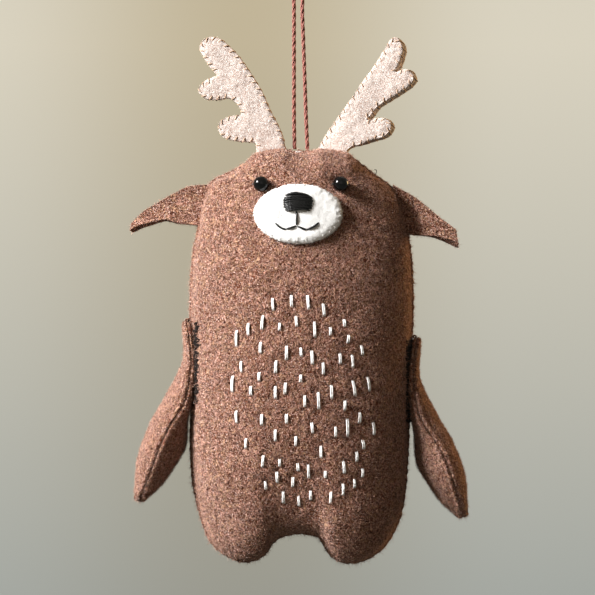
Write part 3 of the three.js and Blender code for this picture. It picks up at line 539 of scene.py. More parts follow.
# %% [markdown]
# Head and trunk are one pillow. Its outline is four smooth curves, and the surface between them
# is the blend that surveyors call a Coons patch. The pillow swells from the seam by a product of
# rounded shares across and upwards. This repeats the CAD solid, so the felt fits it exactly, and
# the finer grid leaves room for what the solid can't show.

# %% Edges of the body
body_edges = {
    "left": [(0.089, -0.437), (0.145, -0.466), (0.201, -0.486), (0.298, -0.496), (0.396, -0.491),
             (0.518, -0.49), (0.6, -0.497), (0.656, -0.496), (0.713, -0.491), (0.769, -0.478),
             (0.805, -0.465), (0.871, -0.446), (0.907, -0.423)],
    "right": [(0.115, 0.448), (0.164, 0.464), (0.201, 0.471), (0.298, 0.482), (0.396, 0.487),
              (0.493, 0.49), (0.579, 0.5), (0.656, 0.502), (0.732, 0.496), (0.786, 0.484),
              (0.839, 0.464), (0.893, 0.437)],
    "bottom": [(-0.437, 0.089), (-0.405, 0.052), (-0.347, 0.022), (-0.288, 0.006), (-0.248, 0.003),
               (-0.203, 0.008), (-0.155, 0.025), (-0.131, 0.048), (-0.09, 0.063), (-0.007, 0.072),
               (0.077, 0.063), (0.099, 0.048), (0.126, 0.024), (0.162, 0.007), (0.221, 0),
               (0.275, 0.005), (0.324, 0.018), (0.374, 0.04), (0.419, 0.078), (0.448, 0.115)],
    "top": [(-0.423, 0.907), (-0.396, 0.929), (-0.351, 0.942), (-0.302, 0.954), (-0.243, 0.973),
            (-0.194, 0.988), (-0.131, 0.996), (0, 1), (0.131, 0.996), (0.21, 0.988),
            (0.284, 0.963), (0.345, 0.938), (0.401, 0.917), (0.437, 0.893)],
}
edge_names = ("bottom", "right", "top", "left")


# %% Patch between four curves
def make_patch(edges, width, height):
    """Four edge curves as functions of a share from 0 to 1 along each."""
    def edge(name):
        """One edge: left and right give a width at each height, the others a height."""
        curve, first, last = curve_through(edges[name]), edges[name][0][0], edges[name][-1][0]

        def place(share):
            """The edge's point at a share of the way between its ends."""
            at = first + (last - first) * np.asarray(share, float)
            pair = (curve(at), at) if name in ("left", "right") else (at, curve(at))
            return np.stack(pair, -1) * (width, height)

        return place

    return {name: edge(name) for name in edge_names}


def coons(bottom, right, top, left, corners, u, v):
    """Bottom and top blended upwards, plus left and right blended across, less the corners."""
    blend = bottom * (1 - v) + top * v + left * (1 - u) + right * u
    low, high = (a * (1 - u) + b * u for a, b in (corners[:2], corners[2:]))
    return blend - (low * (1 - v) + high * v)


def run_of(line):
    """The direction along a closed row of points, from each one's two neighbours."""
    return unit(np.roll(line, -1, 0) - np.roll(line, 1, 0))


def patch_grid(patch, us, vs, inset=0.0):
    """The blend of the four edges, after the outline has moved inwards by the inset."""
    shares = (us[:-1], vs[:-1], us[:0:-1], vs[:0:-1])
    line = np.concatenate([patch[name](share) for name, share in zip(edge_names, shares)])
    along = run_of(line)
    line = line + inset * np.stack([-along[:, 1], along[:, 0]], -1)
    c, r = len(us), len(vs)
    bottom, right = line[:c], line[c - 1:c + r - 1]
    top, left = line[c + r - 2:2 * c + r - 2][::-1], np.append(line[2 * c + r - 3:], line[:1], 0)[::-1]
    return coons(bottom[None], right[:, None], top[None], left[:, None],
                 (bottom[0], bottom[-1], top[0], top[-1]), us[None, :, None], vs[:, None, None])


def patch_outline(patch, count, step):
    """The closed outline as evenly spaced points, anticlockwise from the lower left."""
    share = np.linspace(0, 1, count)
    edges = [patch[name](share)[::way][:-1] for name, way in zip(edge_names, (1, 1, -1, -1))]
    line, length = evenly(np.concatenate(edges + [edges[0][:1]]), step)
    return line[:-1], length


def spaced_shares(length, fine, coarse, margin):
    """Shares along a length: steps of `fine` within the margin at both ends, coarser between."""
    ends = np.arange(0, margin, fine)
    middle = np.linspace(margin, length - margin, int((length - 2 * margin) / coarse) + 1)
    return np.concatenate([ends, middle, length - ends[::-1]]) / length


def pillow(u, v):
    """How far the pillow has swollen: (2 sqrt(u(1-u)))^0.9 (2 sqrt(v(1-v)))^0.6 (1 - v/10)."""
    across, upwards = (2 * np.sqrt(np.clip(share * (1 - share), 0, 1)) for share in (u, v))
    return across ** 0.9 * upwards ** 0.6 * (1 - 0.1 * v)


# %% Outline and patch of the body
body_patch = make_patch(body_edges, body_width, body_height)
body_line, body_round = patch_outline(body_patch, 500, 0.3)
body_line += (0, body_foot)
print("body outline", round(body_round, 1), "mm round")

# %% [markdown]
# Where a sewn edge runs round the pillow, the thread pinches both felts together. The edge lies
# flat for about a millimetre, dips at every needle hole, and bulges a little between the
# holes. Each of these is a smooth bump whose place is measured along the outline and in from
# it. The same relief holds the dimples under the belly stitches, the eyes and the muzzle's rim.

# %% Belly stitches and face places
belly_stitches = np.array([
    (-6.8, -101.5, 3, 0.3), (-2.3, -100.7, 2.9, 0.1), (1.7, -101, 3.5, 0.2), (5.5, -102.8, 3, 0.3),
    (-9.3, -105.9, 3.4, -0.3), (-12.7, -107.5, 3, 0), (-5.2, -106.9, 1.7, 0),
    (-1.1, -105.6, 2.4, 0.2), (3.3, -107.5, 3.8, 0.2), (7.1, -108, 1.8, 0), (10.5, -106, 1.6, 0.1),
    (11.5, -109.9, 1.8, -0.1), (-15.6, -109.8, 4.1, -0.1), (-9.8, -112, 2.8, -0.1),
    (-3.5, -113.2, 3.4, -0.1), (0, -113, 2, 0.1), (2.7, -114.3, 3.4, 0.2), (9.5, -114.6, 2.5, 0.1),
    (12.5, -115.3, 3.1, 0.3), (14.8, -112.6, 2.3, 0.3), (-14.5, -116.6, 2.6, 0.2),
    (-6.1, -116.6, 3, -0.2), (5.4, -117, 2.9, 0.1), (-10.1, -119, 2, 0), (-0.1, -119.4, 1.7, -0.1),
    (-16.6, -120.8, 4.1, -0.2), (-12.1, -122.4, 2.1, 0.1), (-6.2, -122.8, 3.1, 0),
    (-3.8, -121.8, 2.7, -0.1), (7.4, -122.7, 3.4, 0.1), (12.9, -121.8, 3.8, 0.6),
    (16.5, -120.8, 3.5, 0.6), (0.9, -124.9, 2.8, 0.1), (4.2, -124.8, 4.3, 0.2),
    (10.6, -126, 2.4, -0.1), (-15.6, -128.8, 3, 0.2), (-9.5, -129.4, 2.7, 0),
    (-3.5, -129.2, 2.3, 0), (14.3, -129, 2.6, 0), (2.7, -131.4, 2.5, 0.3), (8.4, -132.4, 2.5, 0.1),
    (11.3, -131.4, 4.5, 0.1), (17.8, -131.7, 3.1, 0.3), (-6.2, -133.2, 2.8, 0),
    (-1.3, -134.6, 2.3, -0.1), (15.2, -135.5, 2.1, 0.4), (-13.3, -135.2, 2.4, -0.1),
    (4.8, -137.3, 3, 0), (13.6, -138.5, 2.4, 0), (-9.3, -139.5, 2.8, -0.3),
    (-5.2, -139.9, 1.6, 0.1), (-0.7, -141, 1.8, 0.2), (1.8, -142.1, 3.5, 0.1),
    (10.4, -141, 3, 0.3), (15, -142.5, 2, 0), (-5.8, -143.5, 2.7, 0.2), (5.9, -142.8, 1.5, 0),
    (-2, -144.7, 2.4, -0.1), (13, -145, 2.1, 0.1), (-8.6, -145.4, 2, 0.3), (-4.3, -148.4, 2.9, 0),
    (10.2, -146.5, 2.8, 0), (2.3, -148, 2.2, 0.1), (-0.5, -149.4, 2.4, 0.3),
    (7.2, -148.5, 2.8, -0.1)])  # middle across, middle up, length and lean of each
muzzle_middle, muzzle_size = np.array([-0.67, head_top - 16]), np.array([21, 14.1])
eye_places = np.array([(-9.45, head_top - 8.85), (9.45, head_top - 8.85)])
eye_radius, tab_places = 1.9, (-7.7, 7.9)
body_pitch, hole_inset = body_round / round(body_round / 2.15), 1.15
print(len(belly_stitches), "belly stitches, and seam stitches every", round(body_pitch, 2), "mm")


# %% Relief of the body
def bump_at(distance, width):
    """A smooth bump, 1 at distance 0, that has sunk to a third at the width."""
    return np.exp(-(distance / width) ** 2)


def needle_holes(along, pitch):
    """1 at each needle hole along an edge, and 0 halfway between two: (1/2 + 1/2 cos)^2."""
    return (0.5 + 0.5 * np.cos(2 * np.pi * along / pitch)) ** 2


def relief(points, front=True):
    """How far the felt stands out or in at places on the body: lumps of stuffing, the flat
    pinched edge with its needle holes, and on the front the dimples of what is sewn to it."""
    flat = points[..., [0, 2]]
    inward, along, _ = nearest_on(body_line, flat)
    out = smooth_step(inward, 0.6, 3.0) * lumps(points, 1, (0.32, 12.0), (0.13, 4.7), (0.055, 1.7))
    out += 0.035 * smooth_noise(points, 0.75, 4)
    out -= 0.22 * needle_holes(along, body_pitch) * bump_at(inward - hole_inset, 0.6)
    for x in tab_places:
        across = smooth_step(np.abs(flat[..., 0] - x), 6.6, 3.0)
        near_top = 1 - smooth_step(head_top - flat[..., 1], 4.0, 8.5)
        out += across * near_top * (1.15 - 0.35 * smooth_step(inward, 1.5, 4))
    if not front:
        return out
    for x, z, length, _ in belly_stitches:
        near = (np.abs(flat[..., 0] - x) < 4) & (np.abs(flat[..., 1] - z) < 5)
        gap = np.hypot(flat[near][:, 0] - x, np.maximum(np.abs(flat[near][:, 1] - z) - length / 2, 0))
        out[near] -= 0.30 * bump_at(gap, 0.85)
    for place in eye_places:
        out -= 0.75 * bump_at(np.linalg.norm(flat - place, axis=-1), 2.6)
    ring = np.linalg.norm((flat - muzzle_middle) / (muzzle_size / 2), axis=-1)
    return out - 0.25 * bump_at((ring - 1) * 9, 1.0)


# %% Places on the front
def body_surface(u, v, flat):
    """The CAD solid's surface at (u, v), with its edge pressed flat for about a millimetre."""
    depth = seam_half + (half_depth - seam_half) * pillow(u, v)
    depth = seam_half + (depth - seam_half) * smooth_step(nearest_on(body_line, flat)[0], 0.1, 1.1)
    return upright(flat, -depth)


def plain_front(x, z):
    """Points of the front before its relief, at the (u, v) found by stepping both towards the
    place thirty times."""
    corners = [body_patch[name](end) for name in ("bottom", "top") for end in (0, 1)]
    u, v = 0.5 + x / body_width, (z - body_foot) / body_height
    for _ in range(30):
        edges = (body_patch[name](share) for name, share in zip(edge_names, (u, v, u, v)))
        place = coons(*edges, corners, u[..., None], v[..., None])
        u = np.clip(u + (x - place[..., 0]) / body_width, 0, 1)
        v = np.clip(v + (z - body_foot - place[..., 1]) / body_height, 0, 1)
    return body_surface(u, v, np.stack([x, z], -1))


def on_front(x, z, lift):
    """Places on the finished front felt, lifted off it by some distance. The front's direction
    comes from the points a little way to each side."""
    x, z = np.broadcast_arrays(np.asarray(x, float), np.asarray(z, float))
    step = 0.6
    across = plain_front(x + step, z) - plain_front(x - step, z)
    normal = unit(np.cross(across, plain_front(x, z + step) - plain_front(x, z - step)))
    points = plain_front(x, z)
    return points + normal * (relief(points) + np.asarray(lift))[..., None]


# %% Cut edge of a felt
def rim_rings(line, depth, out, seed, rough=0.08):
    """The cut edge of a felt: rings that round it from its outer face to its seam side."""
    along = run_of(line)
    outward = np.stack([along[:, 1], -along[:, 0]], -1)
    rings = []
    for share, push in ((0.84, 0.55), (0.58, 0.92), (0.32, 1.0), (0.1, 0.7)):
        ring = upright(line + outward * (out * push)[:, None], -depth * share)
        ring += upright(outward, 0.5) * (rough * smooth_noise(ring, 0.8, seed))[:, None]
        rings.append(ring)
    return rings


def edge_swell(along, pitch, size=0.12):
    """The edge bulges between stitches and is pulled in under each thread, half a step on."""
    return size * (0.4 - np.cos(2 * np.pi * (along / pitch - 0.5)))


# %% Front and back felt
def body_panel(front):
    """A felt of the body: the outer surface moved along its own direction by the relief, an
    inner one with room for the filling, and the rounded edge between them."""
    us, vs = (spaced_shares(size, 0.2, 0.47, 2.4) for size in (body_width, body_height))
    u, v = np.meshgrid(us, vs)
    flat = patch_grid(body_patch, us, vs) + (0, body_foot)
    outer = body_surface(u, v, flat)
    outer[..., 1] *= np.where(nearest_on(body_line, flat)[0] < 0.25, 0.85, 1)
    normal = unit(np.cross(np.gradient(outer, axis=1), np.gradient(outer, axis=0)))
    outer = outer + normal * relief(outer * (1 if front else (1, -1, 1)), front)[..., None]
    depth = seam_close + (half_depth - felt_thick - 0.6 - seam_close) * pillow(u, v)
    inner = upright(patch_grid(body_patch, us, vs, seam_inset) + (0, body_foot), -depth)
    edge = flat.reshape(-1, 2)[border_of(*flat.shape[:2])]
    strength = 0.1 + 0.2 * smooth_step(edge[:, 1], head_top - 5, head_top - 1)
    swell = edge_swell(nearest_on(body_line, edge)[1], body_pitch, strength)
    shape = shell(outer, inner, rim_rings(edge, seam_half, 0.25 + swell, 5, 0.14))
    return shape if front else mirrored(shape, 1)


front_panel, back_panel = body_panel(True), body_panel(False)
new_piece("front_felt_panel", front_panel, brown_felt, nodes=["body_front_felt"])
new_piece("back_felt_panel", back_panel, brown_felt, nodes=["body_back_felt"])

# %% [markdown]
# The filling is loose wool pushed in by the handful, so its surface is a field of soft clumps.
# It stays inside the felts and below the antlers' tabs and the cord's knot.

# %% Filling of the body
us, vs = np.linspace(0, 1, 56), np.linspace(0, 1, 96)
low_edges = dict(body_edges, top=[(x, z - 0.055) for x, z in body_edges["top"]])
flat = patch_grid(make_patch(low_edges, body_width, body_height), us, vs, 2.3) + (0, body_foot)
clumps = upright(flat, 0.3 + 13.2 * pillow(*np.meshgrid(us, vs)))
clumps[..., 1] += np.minimum(clumps[..., 1] - 0.3, 1) * lumps(clumps, 11, (0.5, 5.0), (0.25, 2.2))
new_piece("wool_filling", shell(clumps * (1, -1, 1), clumps), filling_wool,
          nodes=["body_stuffing"])

# %% [markdown]
# The seam is closed by whip stitches: the needle goes straight through both felts, the thread
# comes over the edge on a slant, and goes through the next hole. Each visible stitch is one tube
# with both ends sunk in their holes, and all of them are made at once as arrays.

# %% Path of a whip stitch
def whip_paths(places, tangents, outward, half, inset, pitch, over=0.16):
    """Threads over an edge. Each path runs from a hole on one face, over the rim and back to a
    hole on the other face, and slides along the edge by the pitch."""
    reach = np.array([-inset, -inset + 0.12, -0.5 * inset, 0, over, over, 0, -0.5 * inset,
                      -inset + 0.12, -inset])
    depth = np.array([-0.4, 0.04, 0.08, 0.03, -0.5, -0.5, 0.03, 0.08, 0.04, -0.4])
    side = np.array([1, 1, 1, 1, 1, -1, -1, -1, -1, -1])
    rise = side * (half + depth) * np.array([1, 1, 1, 1, 0.55, 0.55, 1, 1, 1, 1])
    slide = np.linspace(0.5, -0.5, len(reach)) * pitch
    slide[[0, -1]] = slide[[1, -2]]
    return (places[:, None] + outward[:, None] * reach[None, :, None]
            + rise[None, :, None] * (0, -1, 0) + tangents[:, None] * slide[None, :, None])


# %% Stitches round an outline
def spline(a, b, c, d, t):
    """From b at t = 0 to c at t = 1 by a cubic that leaves b along a to c and meets c along b
    to d."""
    return 0.5 * (2 * b + (c - a) * t + (2 * a - 5 * b + 4 * c - d) * t**2
                  + (3 * b - a - 3 * c + d) * t**3)


def rounder(paths, per_step=2):
    """The same paths with points added between by a cubic through the neighbours."""
    longer = np.concatenate([2 * paths[:, :1] - paths[:, 1:2], paths,
                             2 * paths[:, -1:] - paths[:, -2:-1]], 1)
    corners = [longer[:, k:k + paths.shape[1] - 1] for k in range(4)]
    made = np.stack([spline(*corners, t) for t in np.arange(per_step) / per_step], 2)
    return np.concatenate([made.reshape(len(paths), -1, 3), paths[:, -1:]], 1)


def outline_frame(line, at, length):
    """Places, tangents and outward directions at distances along a closed outline in xz."""
    row = np.concatenate([line, line[:1]])
    along = np.linspace(0, length, len(row))

    def sample(s):
        """The outline's points at distances along it, straight between two of its own."""
        return np.stack([np.interp(s % length, along, column) for column in row.T], -1)

    tangent = unit(sample(at + 0.3) - sample(at - 0.3))
    return upright(sample(at)), upright(tangent), xyz(tangent[:, 1], 0, -tangent[:, 0])


def stitch_places(length, pitch):
    """Distances along an outline: one in the middle of every pitch."""
    return np.arange(round(length / pitch)) * pitch + pitch / 2


def whip_round(line, length, at, half, inset, pitch, wobble=0.12):
    """Whip stitches at the given distances along an outline, a little uneven as by hand: their
    paths, and the directions along the edge that their tubes refer to."""
    places, tangents, outward = outline_frame(line, at, length)
    paths = whip_paths(places, tangents, outward, half, inset, pitch)
    paths += wobble * smooth_noise(paths, 1.7, 21)[..., None] * (outward + 0.5 * tangents)[:, None]
    return rounder(paths), tangents[:, None] + (0, 0.01, 0)


# %% Whip stitches of the body
paths, edge_way = whip_round(body_line, body_round, stitch_places(body_round, body_pitch),
                             seam_half, hole_inset, body_pitch)
threads("body_whip_stitches", paths, 0.14, edge_way, 6, brown_thread, 6.0,
        ["lower_seam_stitches", "left_side_seam_stitches", "right_side_seam_stitches"])

# %% [markdown]
# Antlers, and the muzzle further down, are cut from flat felt with scissors. Their outline is a
# closed row of points. Blender's Delaunay triangulation fills it with even triangles, which an
# extruded outline lacks, and so the face can dip at each needle hole and round off at the edge.

# %% Cut felt
def fill_outline(line, spacing):
    """Triangles inside a closed outline: its own points and a lattice of points within it."""
    low, high = line.min(0), line.max(0)
    xs, zs = np.arange(low[0], high[0], spacing), np.arange(low[1], high[1], spacing * 0.866)
    x, z = np.meshgrid(xs, zs)
    x = x + (np.arange(len(zs)) % 2)[:, None] * spacing / 2
    lattice = np.stack([x.ravel(), z.ravel()], -1)
    a, b = line[None], np.roll(line, -1, 0)[None]
    p = lattice[:, None]
    crosses = (a[..., 1] > p[..., 1]) != (b[..., 1] > p[..., 1])
    drop = np.where(crosses, b[..., 1] - a[..., 1], 1)
    run = (b[..., 0] - a[..., 0]) * (p[..., 1] - a[..., 1]) / drop
    lattice = lattice[(crosses & (p[..., 0] < a[..., 0] + run)).sum(1) % 2 == 1]
    lattice = lattice[nearest_on(line, lattice)[0] > 0.55 * spacing]
    points = [Vector(p) for p in np.concatenate([line, lattice]).tolist()]
    made = delaunay_2d_cdt(points, [], [list(range(len(line)))], 1, 1e-5)
    flat, triangles = np.array([tuple(p) for p in made[0]]), np.array(made[2])
    a, b, c = (flat[triangles[:, k]] for k in range(3))
    turn = (b - a)[:, 0] * (c - a)[:, 1] - (b - a)[:, 1] * (c - a)[:, 0]
    triangles[turn < 0] = triangles[turn < 0][:, ::-1]
    return flat, triangles


def cut_felt(triangles, front, back, rings):
    """A closed felt: the filled outline on its front and its back, joined by rounded rings."""
    return closed(front, back, rings, np.arange(len(rings[0])), triangles,
                  triangles[:, ::-1] + len(front))


# %% Antler outlines
antler_height, antler_width, tab_width, tab_depth = 29, 21.3, 7.4, 4
antler_spacing, antler_shift = 15.6, 0.1
antler_turns, antler_twists = {"left": -4, "right": -14}, {"left": -1, "right": 4}
antler_slants = {"left": 0.0, "right": 0.34}  # how far the back felt sits to one side
antler_shares = {
    "left": [(0.17, 0.02), (0.171, 0.065), (0.124, 0.192), (0.005, 0.368), (-0.093, 0.526),
             (-0.209, 0.667), (-0.343, 0.812), (-0.477, 0.918), (-0.57, 0.977), (-0.674, 1),
             (-0.767, 0.977), (-0.814, 0.909), (-0.767, 0.829), (-0.69, 0.744), (-0.616, 0.673),
             (-0.674, 0.65), (-0.767, 0.615), (-0.826, 0.564), (-0.809, 0.516), (-0.733, 0.472),
             (-0.609, 0.467), (-0.477, 0.479), (-0.384, 0.433), (-0.329, 0.368), (-0.343, 0.33),
             (-0.465, 0.316), (-0.558, 0.286), (-0.597, 0.231), (-0.57, 0.171), (-0.5, 0.133),
             (-0.343, 0.109), (-0.169, 0.094), (-0.156, 0.02)],
    "right": [(-0.17, 0.02), (-0.15, 0.065), (-0.063, 0.171), (0.07, 0.308), (0.233, 0.47),
              (0.36, 0.607), (0.5, 0.744), (0.628, 0.889), (0.671, 0.943), (0.744, 0.983),
              (0.81, 0.932), (0.831, 0.872), (0.791, 0.769), (0.751, 0.692), (0.844, 0.709),
              (0.907, 0.701), (0.958, 0.641), (0.924, 0.585), (0.814, 0.526), (0.657, 0.457),
              (0.535, 0.402), (0.442, 0.32), (0.395, 0.282), (0.547, 0.299), (0.628, 0.291),
              (0.686, 0.251), (0.674, 0.192), (0.605, 0.145), (0.471, 0.114), (0.337, 0.079),
              (0.244, 0.065), (0.195, 0.045), (0.172, 0.02)],
}


def antler_line(side):
    """The outline with its tab, anticlockwise as the face sees it."""
    p = np.array(antler_shares[side]) * (antler_width, antler_height)
    before, after = np.concatenate([p[:1], p[:-1]]), np.roll(p, -1, 0)
    t = np.linspace(0, 1, 12, endpoint=False)[:, None, None]
    curve = spline(before, p, after, np.concatenate([p[2:], p[-1:], p[-1:]]), t)[:, :-1]
    curve = np.concatenate([curve.transpose(1, 0, 2).reshape(-1, 2), p[-1:]])
    half_tab = side_sign[side] * tab_width / 2
    line = np.concatenate([curve, [(half_tab, -tab_depth), (-half_tab, -tab_depth)], curve[:1]])
    return evenly(line if side == "left" else line[::-1], 0.33)[0][:-1]


# %% Shape of an antler
antler_pitch, antler_inset = 1.95, 0.95


def antler_place(side, shape):
    """Turns an antler about the vertical and sets its tab into the head's seam. The right one is
    also twisted: its turn grows from the tab out, and its width with it, so that its outline
    from the front stays where it is."""
    points, faces = shape
    x = antler_shift + side_sign[side] * antler_spacing / 2
    z = body_foot + curve_through(body_edges["top"])(x / body_width) * body_height
    slant = antler_slants[side] * (points[:, 1:2] + seam_half) * smooth_step(points[:, 2:], 0, 4)
    points = points + slant * (1, 0, -0.3)
    first = np.radians(antler_turns[side])
    turn = first + np.radians(antler_twists[side]) * smooth_step(np.abs(points[:, 0]), 1, 11)
    across = points[:, 0] * np.cos(first) / np.cos(turn)
    turned = xyz(across * np.cos(turn) - points[:, 1] * np.sin(turn),
                 across * np.sin(turn) + points[:, 1] * np.cos(turn), points[:, 2])
    return turned + (x, 0, z), faces


def antler_felt(line, flat, triangles, seed):
    """The near felt of an antler: flat, rounded at the rim, with a dimple at each needle hole."""
    inward, along, length = nearest_on(line, flat)
    pitch = length / round(length / antler_pitch)
    above = smooth_step(flat[:, 1], 0.5, 2.0)
    depth = seam_half - 0.22 * bump_at(inward, 0.45)
    depth -= 0.16 * above * needle_holes(along, pitch) * bump_at(inward - antler_inset, 0.4)
    depth += above * lumps(upright(flat), seed, (0.10, 3.1), (0.06, 1.1))
    swell = edge_swell(nearest_on(line, line)[1], pitch, 0.07) + 0.05
    rings = rim_rings(line, seam_half, swell * smooth_step(line[:, 1], 0.5, 2.0), seed)
    return cut_felt(triangles, upright(flat, -depth), upright(flat, -seam_close), rings), pitch, length


# %% Antler pieces
antler_felts = {}
for side, near_seed, far_seed in (("left", 31, 51), ("right", 41, 61)):
    line = antler_line(side)
    flat, triangles = fill_outline(line, 0.42)
    near, pitch, length = antler_felt(line, flat, triangles, near_seed)
    far = mirrored(antler_felt(line, flat, triangles, far_seed)[0], 1)
    near, far = antler_felts[side] = antler_place(side, near), antler_place(side, far)
    new_piece(side + "_antler_near_felt", near, beige_felt, nodes=[side + "_antler_front_felt"])
    new_piece(side + "_antler_far_felt", far, beige_felt, nodes=[side + "_antler_back_felt"])
    at = stitch_places(length, pitch)
    at = at[outline_frame(line, at, length)[0][:, 2] > 1.2]
    paths, edge_way = whip_round(line, length, at, seam_half - 0.12, antler_inset, pitch, 0.1)
    threads(side + "_antler_whip_stitches", paths, 0.12, edge_way, 6, beige_thread, 5.0,
            [side + "_antler_edge_stitches"], place=lambda shape: antler_place(side, shape))

# %% [markdown]
# Each ear is two felts cut as a leaf and folded, so that it cups backwards at its upper and lower
# edge. A grid from its lower to its upper edge and from the root to the tip follows the same
# curves as the CAD solid. It rides on its own body, because an ear flaps on its sewn root.

# %% Ear outlines
ear_shares = {
    "left": {"upper": [(0, 0.39), (0.25, 0.35), (0.45, 0.2), (0.63, 0.02), (0.86, -0.22), (1, -0.5)],
             "lower": [(0, -0.53), (0.12, -0.5), (0.3, -0.46), (0.49, -0.4), (0.7, -0.47),
                       (0.87, -0.54), (1, -0.64)]},
    "right": {"upper": [(0, 0.38), (0.11, 0.23), (0.25, 0.05), (0.39, -0.17), (0.53, -0.4),
                        (0.7, -0.68)],
              "lower": [(0, -0.7), (0.12, -0.73), (0.34, -0.77), (0.54, -0.86), (0.64, -0.93),
                        (0.7, -0.97)]},
}
ear_length, ear_width, ear_cup, ear_gap, ear_drop = 16, 11.2, 0.4, 0.7, 12.5
ear_sweep, ear_slopes = {"left": 2.5, "right": -3}, {"left": 0.15, "right": 0.55}
ear_root = 1.6  # how far the sewn root reaches in past the head's outline


# %% Shape of an ear
def ear_edge(side, name, row):
    """An edge of an ear: out from the head's outline by a share of the ear's length."""
    table = ear_shares[side][name]
    t = row * table[-1][0]
    level = head_top - ear_drop + curve_through(table)(t) * ear_width
    root = curve_through(body_edges[side])((level - body_foot) / body_height) * body_width
    out = ear_gap + t * ear_length - (ear_gap + ear_root) * (1 - smooth_step(row, -0.1, 0.3))
    return xyz(root + side_sign[side] * out, 0, level)


def ear_middle(side, w, row):
    """A place between the two felts: the blend of both edges, cupped by a parabola from edge to
    edge, swept forwards or back towards the tip, and leaning back as it rises."""
    lower, upper = ear_edge(side, "lower", row), ear_edge(side, "upper", row)
    points = lower + (upper - lower) * w[..., None]
    cup = ear_cup * (2 * w - 1) ** 2 * np.sin(np.pi * np.clip(0.1 + 0.9 * row, 0, 1))
    lean = ear_slopes[side] * row * (w - 0.5) * (upper - lower)[..., 2]
    points[..., 1] = ear_sweep[side] * row - cup + lean
    return points


def ear_grid(side, near, seed):
    """One face of an ear, square to its middle except at the root, where it joins the seam."""
    w, s = (spaced_shares(size, 0.15, 0.4, 0.9) for size in (ear_width, ear_length))
    rows, columns = np.meshgrid(w, 1 - s if side == "left" else s, indexing="ij")
    up = ear_middle(side, rows + 0.05, columns) - ear_middle(side, rows - 0.05, columns)
    out = ear_middle(side, rows, columns + 0.05) - ear_middle(side, rows, columns - 0.05)
    back = unit(side_sign[side] * np.cross(up, out))
    back = unit(back * columns[..., None] + np.array([0, 1, 0]) * (1 - columns[..., None]))
    points = ear_middle(side, rows, columns) + near * back
    return points + back * lumps(points, seed, (0.12, 3.0), (0.05, 1.0))[..., None]


def ear_felt(side, near, seed):
    """A felt of an ear: two faces, the outer one thinned to a round at the rim."""
    front, back = ear_grid(side, near - felt_thick, seed), ear_grid(side, near, seed)
    edge = border_of(*front.shape[:2])
    a, b = front.reshape(-1, 3)[edge], back.reshape(-1, 3)[edge]
    outward = unit(np.cross(run_of(a), unit(b - a)))
    return shell(front, back, [a + (b - a) * share + outward * push for share, push in
                               ((0.12, 0.12), (0.35, 0.2), (0.65, 0.2), (0.88, 0.12))])


# %% Ear pieces
ear_felts = {}
for side in side_sign:
    near, far = ear_felt(side, -seam_close, 71), ear_felt(side, seam_close + felt_thick, 81)
    ear_felts[side] = near, far
    for part, shape, node_end in (("near", near, "front"), ("far", far, "back")):
        new_piece(f"{side}_ear_{part}_felt", shape, brown_felt, side + "_ear",
                  [f"{side}_ear_{node_end}_felt"])

# %% [markdown]
# An arm is a small pillow of its own, a teardrop seen from the side, with its seam down its front
# and back edges. The outer felt is bowed outwards and the inner felt bulges towards the body.

# %% Arm outlines, bow and turn
arm_edges = {
    "left": [(0.12, -0.36), (0.22, -0.47), (0.35, -0.5), (0.55, -0.43), (0.75, -0.32), (0.95, -0.22)],
    "right": [(0.12, 0.36), (0.22, 0.47), (0.35, 0.5), (0.55, 0.43), (0.75, 0.32), (0.95, 0.22)],
    "bottom": [(-0.36, 0.12), (-0.24, 0.04), (0, 0), (0.24, 0.04), (0.36, 0.12)],
    "top": [(-0.22, 0.95), (-0.14, 0.99), (0, 1), (0.14, 0.99), (0.22, 0.95)],
}
arm_thickness_shares = {
    "outer": [(0, 0.13), (0.09, 0.3), (0.2, 0.44), (0.33, 0.47), (0.46, 0.45), (0.58, 0.37),
              (0.69, 0.23), (0.82, 0.13), (1, 0.125)],
    "inner": [(0, 0.13), (0.09, 0.38), (0.2, 0.5), (0.33, 0.56), (0.42, 0.45), (0.5, 0.31),
              (0.58, 0.2), (0.69, 0.14), (0.82, 0.125), (1, 0.125)],
}
arm_bow_shares = [(0, 0), (0.23, 0.42), (0.45, 0.77), (0.57, 1), (0.7, 0.93), (0.82, 0.72), (1, 0)]
arm_length, arm_width, arm_thick, arm_bow = 45, 15, 10, 3.8
arm_tilt, arm_out, arm_drops = np.radians(13.9), 29.2, {"left": 42.5, "right": 46.57}
arm_turns = {  # degrees about the arm's length, by the share up from its tip
    "left": [(0, 3), (0.2, 0), (0.38, 0), (0.48, 5), (0.58, 11), (0.68, 12), (0.8, 9), (1, 6)],
    "right": [(0, -4), (0.2, -8), (0.38, -8), (0.48, -2), (0.58, 5), (0.68, 7), (0.8, 6), (1, 4)]}
arm_presses = {"left": 0.9, "right": 0.55}  # how far an arm's top is pressed to the body
arm_forward = 1.6  # and how far it is set forward
arm_patch = make_patch(arm_edges, arm_width, arm_length)
arm_line, arm_round = patch_outline(arm_patch, 300, 0.25)
arm_pitch, arm_inset = arm_round / round(arm_round / 2.0), 1.1
print("arm outline", round(arm_round, 1), "mm round")


